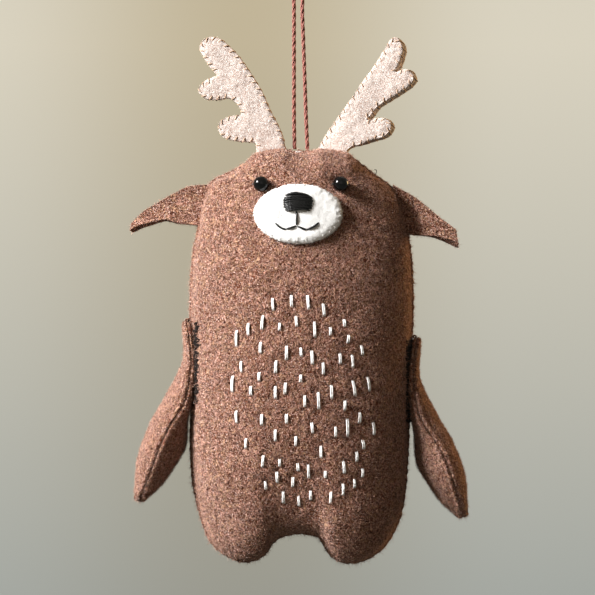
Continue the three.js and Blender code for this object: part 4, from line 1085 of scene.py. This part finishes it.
# %% Shape of an arm
def arm_place(side, shape):
    """Bows an arm, turns it about its length by its table, tilts it, and sets it at its
    shoulder with its top pressed to the body and a little forward."""
    points, faces = shape
    share = np.clip(points[:, 2] / arm_length, 0, 1)
    turn = np.radians(curve_through(arm_turns[side])(share))
    across, deep = points[:, 0], points[:, 1] * (1 - 0.28 * smooth_step(share, 0.66, 0.9))
    deep = deep + arm_bow * curve_through(arm_bow_shares)(share)
    x = across * np.sin(turn) + deep * np.cos(turn)
    y = deep * np.sin(turn) - across * np.cos(turn) - arm_forward * smooth_step(share, 0.4, 0.75)
    z = points[:, 2] - arm_length
    x, z = x * np.cos(arm_tilt) + z * np.sin(arm_tilt), z * np.cos(arm_tilt) - x * np.sin(arm_tilt)
    x = x - arm_out + arm_presses[side] * smooth_step(share, 0.5, 0.85)
    placed = xyz(x, y, z + head_top - arm_drops[side]), faces
    return placed if side == "left" else mirrored(placed, 0)


def arm_face(face, inset, start, trim, us, vs, seed=None):
    """A face of an arm before it is placed: its outline, and its depth by its thickness times
    (2 sqrt(u(1-u)))^1.4 (2 sqrt(v(1-v)))^0.5. A seed adds lumps, needle holes and a round rim."""
    u, v = np.meshgrid(us, vs)
    flat = patch_grid(arm_patch, us, vs, inset)
    reach = np.maximum(arm_thick * curve_through(arm_thickness_shares[face])(v) - trim, start)
    swell = (2 * np.sqrt(u * (1 - u))) ** 1.4 * (2 * np.sqrt(v * (1 - v))) ** 0.5
    depth = start + (reach - start) * swell
    if seed is not None:
        if face == "inner":
            depth += 0.7 * bump_at(v - 0.68, 0.16) * swell
        inward, along, _ = nearest_on(arm_line, flat)
        depth = start + (depth - start) * smooth_step(inward, -0.3, 1.0)
        places = upright(flat, depth)
        depth += smooth_step(inward, 0.4, 2) * lumps(places, seed, (0.22, 6.0), (0.10, 2.4))
        holes = 0.28 * needle_holes(along, arm_pitch) * bump_at(inward - arm_inset, 0.6)
        depth += 0.04 * smooth_noise(places, 0.8, seed + 2) - holes
        depth -= 0.3 * bump_at(inward, 0.4)
    return upright(flat, -depth)


# %% Felts and filling of an arm
def arm_felt(side, face, seed):
    """A felt of an arm: its outer and inner face with the rounded edge between them."""
    us, vs = spaced_shares(arm_width, 0.2, 0.4, 1.8), spaced_shares(arm_length, 0.2, 0.42, 1.8)
    outer = arm_face(face, 0, seam_half, 0, us, vs, seed)
    inner = arm_face(face, seam_inset, seam_close, felt_thick + 0.3, us, vs)
    edge = outer[..., [0, 2]].reshape(-1, 2)[border_of(*outer.shape[:2])]
    swell = 0.4 + edge_swell(nearest_on(arm_line, edge)[1], arm_pitch, 0.1)
    shape = shell(outer, inner, rim_rings(edge, seam_half, swell, seed, 0.14))
    return arm_place(side, mirrored(shape, 1) if face == "inner" else shape)


def arm_filling(side):
    """The wool in an arm: both faces drawn in from the felts, clumped, and thinned at the top."""
    us, vs = np.linspace(0, 1, 20), np.linspace(0, 1, 70)
    halves = [arm_face(face, 2.4, 0.15, 2.3, us, vs)[:40] for face in ("outer", "inner")]
    for k, half in enumerate(halves):
        clumped = 1 - 0.07 * (1 + smooth_noise(half, 2.5, 91 + k))
        half[..., 1] *= clumped * (1 - 0.5 * smooth_step(half[..., 2], 21, 25))
    return arm_place(side, shell(halves[0], halves[1] * (1, -1, 1)))


# %% Arm pieces
arm_felts = {}
paths, edge_way = whip_round(arm_line, arm_round, stitch_places(arm_round, arm_pitch),
                             seam_half, arm_inset, arm_pitch)
for side in side_sign:
    body = side + "_arm"
    outer, inner = arm_felts[side] = arm_felt(side, "outer", 101), arm_felt(side, "inner", 111)
    new_piece(body + "_outer_skin", outer, brown_felt, body, [body + "_outer_felt"])
    new_piece(body + "_inner_skin", inner, brown_felt, body, [body + "_inner_felt"])
    new_piece(body + "_filling", arm_filling(side), filling_wool, body, [body + "_stuffing"])
    threads(body + "_whip_stitches", paths, 0.13, edge_way, 6, brown_thread, 6.0,
            [body + "_seam_stitches"], body, lambda shape: arm_place(side, shape))

# %% [markdown]
# Each arm hangs on a few turns of sewing thread between its top and the body's side seam. The
# turns lie side by side, so a spiral with a little unevenness shows them.

# %% Shoulder threads
for side, sign in side_sign.items():
    turn = np.linspace(0, 2 * np.pi * 11, 360)
    around = xyz(sign * (arm_out - 1) + 0.34 * np.cos(turn), np.linspace(-2.9, 2.9, len(turn)),
                 head_top - arm_drops[side] + 0.75 + 0.34 * np.sin(turn))
    around += 0.05 * smooth_noise(around, 0.7, 95)[:, None]
    threads(side + "_shoulder_threads", around[None], 0.13, (0.1, 1, 0.2), 6, brown_thread, 24,
            [side + "_shoulder_stitches"])

# %% [markdown]
# The muzzle is an oval of white felt laid on the face. The same filled outline as for the antlers
# is draped on the front: each of its points goes to its place on the face and is then lifted
# along the face's own direction. Small white stitches hold it down all round.

# %% Shape of the muzzle
muzzle_count = 29
turn = np.linspace(0, 2 * np.pi, 221)[:-1]
oval = np.stack([np.cos(turn), np.sin(turn)], -1) * muzzle_size / 2
ragged = upright(oval)
oval *= (1 + 0.012 * smooth_noise(ragged, 2.4, 121) + 0.010 * smooth_noise(ragged, 0.9, 124)
         - 0.016 * np.cos(muzzle_count * turn) ** 4)[:, None]
flat, triangles = fill_outline(oval, 0.34)
inward, along, length = nearest_on(oval, flat)
hole = needle_holes(along, length / muzzle_count)
top = 0.2 + felt_thick - 0.35 * bump_at(inward, 0.4) - 0.16 * hole * bump_at(inward - 0.8, 0.4)
top += lumps(upright(flat), 122, (0.05, 3.3), (0.02, 1.2))


# %% Muzzle
def on_muzzle(x, z, lift):
    """Places on the front counted from the muzzle's middle. The lift grows by 35 percent for
    each millimetre that the face falls back there, so that the felt bridges the curve."""
    x, z = np.broadcast_arrays(np.asarray(x, float) + muzzle_middle[0],
                               np.asarray(z, float) + muzzle_middle[1])
    fall = plain_front(x, z)[..., 1] - plain_front(*muzzle_middle[:, None])[0, 1]
    return on_front(x, z, lift * (1 + 0.35 * np.maximum(fall, 0)))


rings = [on_muzzle(oval[:, 0] * push, oval[:, 1] * push, lift)
         for push, lift in ((1.012, 0.78), (1.016, 0.5), (1.008, 0.25))]
muzzle_shape = cut_felt(triangles, on_muzzle(*flat.T, top), on_muzzle(*flat.T, 0.1), rings)
new_piece("white_muzzle_patch", muzzle_shape, white_felt, nodes=["muzzle_felt"])


# %% Muzzle stitches
def strokes(place, starts, ends, lifts, bow=None):
    """Short stitches on a surface: straight between two places, or bowed by a half sine, with
    the given lifts on the way so that both ends sink into the felt."""
    t = np.linspace(0, 1, len(lifts))[:, None]
    paths = starts[:, None] * (1 - t) + ends[:, None] * t
    if bow is not None:
        paths = paths + bow[:, None] * np.sin(np.pi * t)
    return place(paths[..., 0], paths[..., 1], np.broadcast_to(lifts, paths.shape[:2]))


turn = 2 * np.pi * (np.arange(muzzle_count) + 0.5) / muzzle_count
jitter = dice.normal(0, 0.035, (muzzle_count, 4))
direction = np.stack([np.cos(turn), np.sin(turn)], -1)
leaning = np.stack([np.cos(turn + 0.05), np.sin(turn + 0.05)], -1)
starts = direction * muzzle_size / 2 * (1.03 + 0.3 * jitter[:, :1])
ends = leaning * (muzzle_size / 2 - 0.95) + jitter[:, 1:3]
lifts = np.array([-0.2, 0.2, 0.6, 1.02, 1.3, 1.32, 1.2, 0.7])
threads("muzzle_overcast_stitches", strokes(on_muzzle, starts, ends, lifts), 0.13, (0, 0.3, 1), 6,
        white_floss, 2.5, ["muzzle_edge_stitches"])

# %% [markdown]
# The nose is worked in satin stitch: long strands side by side, each sinking in at both ends.
# The mouth is back stitch, one straight strand from hole to hole.

# %% Nose and mouth
layers, layer_uvs = [], []
for strand_count, lift, size, radius in ((16, 0.0, 0.93, 0.27), (15, 0.3, 1.0, 0.2)):
    up = np.linspace(-1, 1, strand_count)
    half = 3.55 * size * (1 - 0.24 * np.abs(up) ** 3.5) + dice.normal(0, 0.10, strand_count)
    level = 2.6 + up * 1.8 * size + dice.normal(0, 0.09, strand_count)
    starts = np.stack([-half, level + dice.normal(0, 0.14, strand_count) - 0.1], -1)
    ends = np.stack([half, level + dice.normal(0, 0.14, strand_count) - 0.3 * up - 0.1], -1)
    bow = np.stack([0 * up, 0.25 * size + dice.normal(0, 0.12, strand_count)], -1)
    lifts = lift + np.array([0.9, 1.4, 1.62, 1.72, 1.77, 1.8, 1.77, 1.72, 1.62, 1.4, 0.9])
    layers.append(sweep(strokes(on_muzzle, starts, ends, lifts, bow), radius, (0, 0.2, 1), 7))
    layer_uvs.append(tube_uv(strand_count, len(lifts), 7, 8.0))
new_piece("nose_satin_strands", joined(*layers), black_floss, nodes=["nose_stitches"],
          uv=np.concatenate(layer_uvs))
mouth = np.array([
    ((-0.45, 0.7), (-0.4, -3.0)), ((-0.4, -2.95), (-2.9, -3.75)), ((-2.8, -3.8), (-5.5, -2.2)),
    ((-0.4, -2.95), (1.95, -3.9)), ((1.85, -3.9), (5.05, -2.0))])
lifts = np.array([1.0, 1.45, 1.62, 1.66, 1.66, 1.62, 1.45, 1.0])
bow = np.array([(0.05, 0), (0, -0.12), (0, -0.45), (0, -0.15), (0, -0.35)])
threads("mouth_back_stitches", strokes(on_muzzle, mouth[:, 0], mouth[:, 1], lifts, bow), 0.24,
        (0.1, 0.3, 1), 8, black_floss, 3.5, ["mouth_stitches"])

# %% [markdown]
# The eyes are round glass beads, sewn on through their hole so tightly that they sit in a
# dimple. A bead is a half circle with a notch for the hole, turned once round the hole's line.

# %% Eye beads
hole_radius, bead_steps, notch_steps = 0.38, 40, 6
start = np.arcsin(hole_radius / eye_radius)
arc = np.linspace(start, np.pi - start, 34)
notch = np.linspace(1, -1, notch_steps + 2)[1:-1] * eye_radius * np.cos(start)
profile_x = np.concatenate([-eye_radius * np.cos(arc), notch])
profile_r = np.concatenate([eye_radius * np.sin(arc), np.full(notch_steps, hole_radius)])
turn = 2 * np.pi * np.arange(bead_steps)[:, None] / bead_steps
bead = xyz(profile_x, np.cos(turn) * profile_r, np.sin(turn) * profile_r)
i = np.arange(bead[..., 0].size).reshape(bead.shape[:2])
j = np.roll(i, -1, 0)
bead_faces = np.stack([i, j, np.roll(j, -1, 1), np.roll(i, -1, 1)], -1).reshape(-1, 4)
for side in side_sign:
    low, high = (np.array(corner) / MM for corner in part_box(side + "_eye_bead"))
    middle = (low + high) / 2
    new_piece(side + "_glass_bead", (bead.reshape(-1, 3) + middle, [bead_faces]), black_glass,
              nodes=[side + "_eye_bead"])
    t = np.linspace(-1, 1, 24)
    loop = xyz(2.15 * np.sign(t) * np.minimum(np.abs(t) * 1.5, 1),
               1.6 * np.clip(np.abs(t) * 2 - 1, 0, 1) ** 1.5, 0) + middle
    threads(side + "_bead_thread", loop[None], 0.16, (0, 0.1, 1), 6, black_floss, 7.0)

# %% [markdown]
# Short white stitches cover the belly in an oval. Each is two strands of floss side by side, with
# both ends pulled into the felt.

# %% Belly stitches
x, z, long, lean = belly_stitches.T
starts, ends = [], []
for strand in (-0.16, 0.16):
    jitter = dice.normal(0, 0.04, (len(x), 2))
    starts.append(np.stack([x - lean / 2 + strand + jitter[:, 0], z + long / 2 + 0.12], -1))
    ends.append(np.stack([x + lean / 2 + strand + jitter[:, 1], z - long / 2 - 0.12], -1))
lifts = np.array([-0.3, 0.2, 0.42, 0.48, 0.5, 0.48, 0.42, 0.2, -0.3])
paths = strokes(on_front, np.concatenate(starts), np.concatenate(ends), lifts)
threads("belly_stitches", paths, 0.205, (1, 0.2, 0), 7, white_floss, 3.0)

# %% [markdown]
# Loose fibres stand off every felt and soften its outline. A particle system could grow them, but
# its hair isn't a mesh. Here each fibre is a thin closed spike of four triangles: three corners
# at its root and a tip, at random places spread evenly over the felt.

# %% How fibres grow
def grow_fuzz(shape, count, low, high, lay=0.55, thick=0.028, outer=False, curl=0.0):
    """Fibres on a shape: roots by a triangle's area and a random point in it, and a direction
    that mixes the felt's normal with a random one along it. A curled one has a knee halfway."""
    points, faces = shape
    triangles = np.concatenate([f[:, [0, k, k + 1]] for f in (faces[:1] if outer else faces)
                                for k in range(1, f.shape[1] - 1)])
    a, b, c = (points[triangles[:, k]] for k in range(3))
    normal = np.cross(b - a, c - a)
    area = np.linalg.norm(normal, axis=1)
    pick = dice.choice(len(area), count, p=area / area.sum())
    r, s = np.sqrt(dice.random(count))[:, None], dice.random(count)[:, None]
    root = a[pick] * (1 - r) + b[pick] * (r * (1 - s)) + c[pick] * (r * s)
    normal = unit(normal[pick])
    wander = unit(np.cross(normal, dice.normal(size=(count, 3))))
    stand = (lay + (1 - lay) * dice.random(count) ** 2)[:, None] * (1 - lay) + 0.12
    direction = unit(normal * stand + wander * (1 - stand))
    long = (low + (high - low) * dice.random(count) ** 2.5)[:, None]
    square = unit(np.cross(direction, normal + 0.01))
    third = np.cross(direction, square)
    thick = thick * (0.7 + 0.6 * dice.random(count))[:, None]
    root = root - normal * 0.06  # sunk a little into the felt

    def ring(middle, size):
        """Three corners a third of a turn apart."""
        return [middle + size * (np.cos(a) * square + np.sin(a) * third) for a in (0, 2.094, 4.189)]

    if curl == 0:
        tips = root + direction * long + (0, 0, -0.12) * long ** 2
        made = np.stack(ring(root, thick) + [tips], 1).reshape(-1, 3)
        i = 4 * np.arange(count)[:, None]
        return made, [np.concatenate([i + (0, 2, 1), i + (0, 1, 3), i + (1, 2, 3), i + (2, 0, 3)])]
    bend = unit(square * dice.normal(size=(count, 1)) - normal * 0.8) * curl * long
    knee = root + direction * long * 0.5 - bend * 0.12
    tips = root + direction * long * 0.85 + bend * 0.35
    made = np.stack(ring(root, thick) + ring(knee, 0.8 * thick) + [tips], 1).reshape(-1, 3)
    i = 7 * np.arange(count)[:, None]
    ends = np.concatenate([i + (0, 2, 1), i + (3, 4, 6), i + (4, 5, 6), i + (5, 3, 6)])
    return made, [ends, np.concatenate([i + (0, 1, 4, 3), i + (1, 2, 5, 4), i + (2, 0, 3, 5)])]


# %% Fuzz on every felt
def fuzz_piece(name, shape, count, material=brown_fuzz, body="torso", low=0.35, high=1.3, **looks):
    """One piece of fibres on a felt, between the given lengths."""
    new_piece(name, grow_fuzz(shape, count, low, high, **looks), material, body)


def rim_of(shape):
    """Only the cut edge of a felt, which is its third group of faces."""
    return shape[0], shape[1][2:]


for part, panel, count in (("front", front_panel, 45000), ("back", back_panel, 22000)):
    fuzz_piece(part + "_felt_fuzz", panel, count, outer=True)
    fuzz_piece(part + "_felt_nap", panel, count, low=0.25, high=0.9, lay=0.7, thick=0.036, outer=True)
    fuzz_piece(part + "_felt_curls", panel, count * 2 // 5, low=0.8, high=2.6, lay=0.85,
               thick=0.032, outer=True, curl=1.0)
    fuzz_piece(part + "_rim_fuzz", rim_of(panel), count // 6, low=0.4, high=1.7, lay=0.35, thick=0.03)
for side in side_sign:
    for part, shape in zip(("outer", "inner"), arm_felts[side]):
        name, body = f"{side}_arm_{part}", side + "_arm"
        fuzz_piece(name + "_rim_fuzz", rim_of(shape), 3000, body=body, low=0.4, high=1.6, lay=0.35,
                   thick=0.03)
        fuzz_piece(name + "_fuzz", shape, 7000, body=body, outer=True)
        fuzz_piece(name + "_curls", shape, 3000, body=body, low=0.7, high=2.0, lay=0.8,
                   thick=0.032, outer=True, curl=1.0)
    for part, shape in zip(("near", "far"), ear_felts[side]):
        name, body = f"{side}_ear_{part}", side + "_ear"
        fuzz_piece(name + "_fuzz", shape, 3000, body=body, high=1.0)
        fuzz_piece(name + "_curls", shape, 1200, body=body, low=0.6, high=1.6, lay=0.8, thick=0.03,
                   curl=1.0)
    for part, shape in zip(("near", "far"), antler_felts[side]):
        fuzz_piece(f"{side}_antler_{part}_fuzz", shape, 4500, beige_fuzz, low=0.2, high=0.7,
                   thick=0.022)
fuzz_piece("muzzle_fuzz", muzzle_shape, 9000, white_fuzz, low=0.25, high=0.9, thick=0.024)


# %% [markdown]
# Where a thread begins or ends, a short tail of it is left: a pale tuft at the cord, and three
# dark ends at the edges of the head. They could be drawn as curves by hand, but a circle that
# sinks and drifts away with some noise curls like them, and one function makes them all.

# %% Stray ends
def stray(start, turns, size, seed):
    """A loose end of thread: start + size * (a circle's arc that sinks + noise that grows)."""
    t = np.linspace(0, 1, 26)
    wander = np.stack([smooth_noise(xyz(3 * t + k, 0, 0), 1.0, seed) for k in (0, 7, 19)], -1)
    circle = xyz(np.cos(turns * t) - 1, -0.4 * t, np.sin(turns * t))
    return start + size * (circle + 0.5 * wander * t[:, None])


tuft = [stray(np.array([-0.2 + 0.25 * k, -1.5, head_top - 1.0]), 1.5 + 0.7 * k, 0.9, 300 + k)
        for k in range(-3, 4)]
threads("pale_thread_tuft", tuft, 0.07, (0.1, 1, 0.2), 5, white_fuzz, 3.0, slot="white_thread")
loops = [stray(np.array([17.2, -1.6, head_top - 5.0]), 4.4, -0.75, 310),
         stray(np.array([15.4, -1.5, head_top - 4.2]), -3.6, 0.6, 311),
         stray(np.array([-14.4, -1.5, head_top - 4.4]), 3.2, 0.5, 312)]
threads("dark_thread_ends", loops, 0.1, (0.1, 1, 0.2), 5, black_floss, 4.0)

# %% [markdown]
# Ragged dark threads lie across the gap between each arm's top and the body. They are partly
# loose thread and fuzz at the seam and partly painted shade: their near-black colour and close
# rows stand in for the shadow in the crevice. On the left they hug the body's felt, and on the
# right they run straight from it towards the arm. Each one's place is drawn at random about an
# even row.

# %% Threads beside the arms, whose near-black colour paints the crevice shadow
count, edge_x = 110, -26.2
low = np.stack([edge_x + 0.12 * dice.normal(0, 1, count),
                np.linspace(-106.6, -125.5, count) + 0.25 * dice.normal(0, 1, count)], -1)
high = low + np.stack([0.8 + 0.3 * dice.normal(0, 1, count), 0.5 * dice.normal(0, 1, count)], -1)
threads("left_gap_shade_threads", strokes(on_front, low, high, [-0.35, 0.1, 0.28, 0.1, -0.35]), 0.22,
        (1, 0.2, 0.1), 6, gap_shade_thread, 2.0)
count, edge_x, arm_x, arm_y = 70, 25.9, 28.0, -2.8
heights = np.linspace(-110.6, -130.5, count) + 0.2 * dice.normal(0, 1, count)
low = on_front(edge_x, heights, 0)
high = xyz(arm_x + 0.2 * dice.normal(0, 1, count), arm_y + 0.4 * dice.normal(0, 1, count),
           heights + 0.4 * dice.normal(0, 1, count))
steps = np.linspace(0, 1, 5)[:, None]
threads("right_gap_shade_threads", low[:, None] * (1 - steps) + high[:, None] * steps, 0.2,
        (0.1, 1, 0.2), 6, gap_shade_thread, 2.0)

# %% [markdown]
# The studio is one seamless sheet: a pale floor that curves up into a wall. Its colour is a
# quiet grey that turns lighter and warmer higher up, and a broad darker band left of the middle
# is a painted shadow. Towards the camera it adds some light of its own, so the background stays
# even without more light on the ornament.

# %% Backdrop
wall_y, floor_z, curve_radius, half_width = 1.6, -0.5, 0.25, 5.0
bend = np.linspace(0, np.pi / 2, 24)
curve = np.stack([wall_y - curve_radius + curve_radius * np.sin(bend),
                  floor_z + curve_radius * (1 - np.cos(bend))], -1)
profile = np.concatenate([[(-5, floor_z)], curve, [(wall_y, 3)]])
sheet = xyz(np.array([-half_width, half_width]), profile[:, :1], profile[:, 1:]) / MM


def seen_rays(tree):
    """1 where a ray comes from the camera, or from a gloss or a glass that shows the room."""
    ray = node(tree, "LightPath").outputs
    seen = math(tree, "MAXIMUM", ray["Is Camera Ray"], ray["Is Glossy Ray"])
    return math(tree, "MAXIMUM", seen, ray["Is Transmission Ray"])


backdrop_paint, tree, shader = new_material("backdrop_paper", None, 0.95, specular=0.05)
place = node(tree, "SeparateXYZ", {0: in_millimetres(tree)})
height_range = {"Value": place.outputs[2], "From Min": -380.0, "From Max": 130.0}
height = node(tree, "MapRange", height_range).outputs[0]
# Painted shadow: a broad darker band on the backdrop, darkest at x = -49 mm and gone 250 mm to either
# side.
painted_shadow_band = ramp(tree, math(tree, "ABSOLUTE", math(tree, "ADD", place.outputs[0], 49.0)), 250.0, 0.0)
paper = mixed(tree, painted_shadow_band, mixed(tree, height, tone("999d98"), tone("cec8b7")),
              mixed(tree, height, tone("8f8f86"), tone("b7ab90")))
tree.links.new(mixed(tree, 0.75, paper, tone("30302e")), shader.inputs["Base Color"])
tree.links.new(paper, shader.inputs["Emission Color"])
tree.links.new(math(tree, "MULTIPLY", seen_rays(tree), 0.96), shader.inputs["Emission Strength"])
backdrop = new_mesh("backdrop", sheet.reshape(-1, 3), [grid_faces(len(profile), 2)], backdrop_paint)
print("backdrop", 2 * half_width, "m wide")


# %% [markdown]
# A window lights the ornament from the upper left. One weak soft lamp opens the shadows from the
# front, and a small warm one behind gives the right edge its glow. The room's own light is dim.

# %% Lights
def area_light(name, place, target, size, power, colour):
    """A square lamp at a place in metres, turned to its target."""
    data = bpy.data.lights.new(name, "AREA")
    data.size, data.energy, data.color = size, power, colour
    lamp = bpy.data.objects.new(name, data)
    lamp.location = place
    lamp.rotation_euler = (Vector(target) - Vector(place)).to_track_quat("-Z", "Y").to_euler()
    scene.collection.objects.link(lamp)


middle = (0, 0, -0.11)
area_light("window_left", (-0.76, -0.33, 0.38), middle, 0.32, 32, (1.0, 0.99, 0.985))
area_light("soft_front", (0.1, -1.0, 0.25), middle, 0.6, 0.5, (1.0, 0.98, 0.96))
area_light("warm_rim_right", (0.42, 0.26, 0.0), middle, 0.2, 2.0, (1.0, 0.64, 0.28))
world = bpy.data.worlds.new("room")
world.use_nodes = True
tree = world.node_tree
room_light = mixed(tree, seen_rays(tree), (0.166, 0.122, 0.078, 1), tone("bbb9ad"))
tree.links.new(room_light, tree.nodes["Background"].inputs["Color"])
scene.world = world
print(len(bpy.data.lights), "lamps")
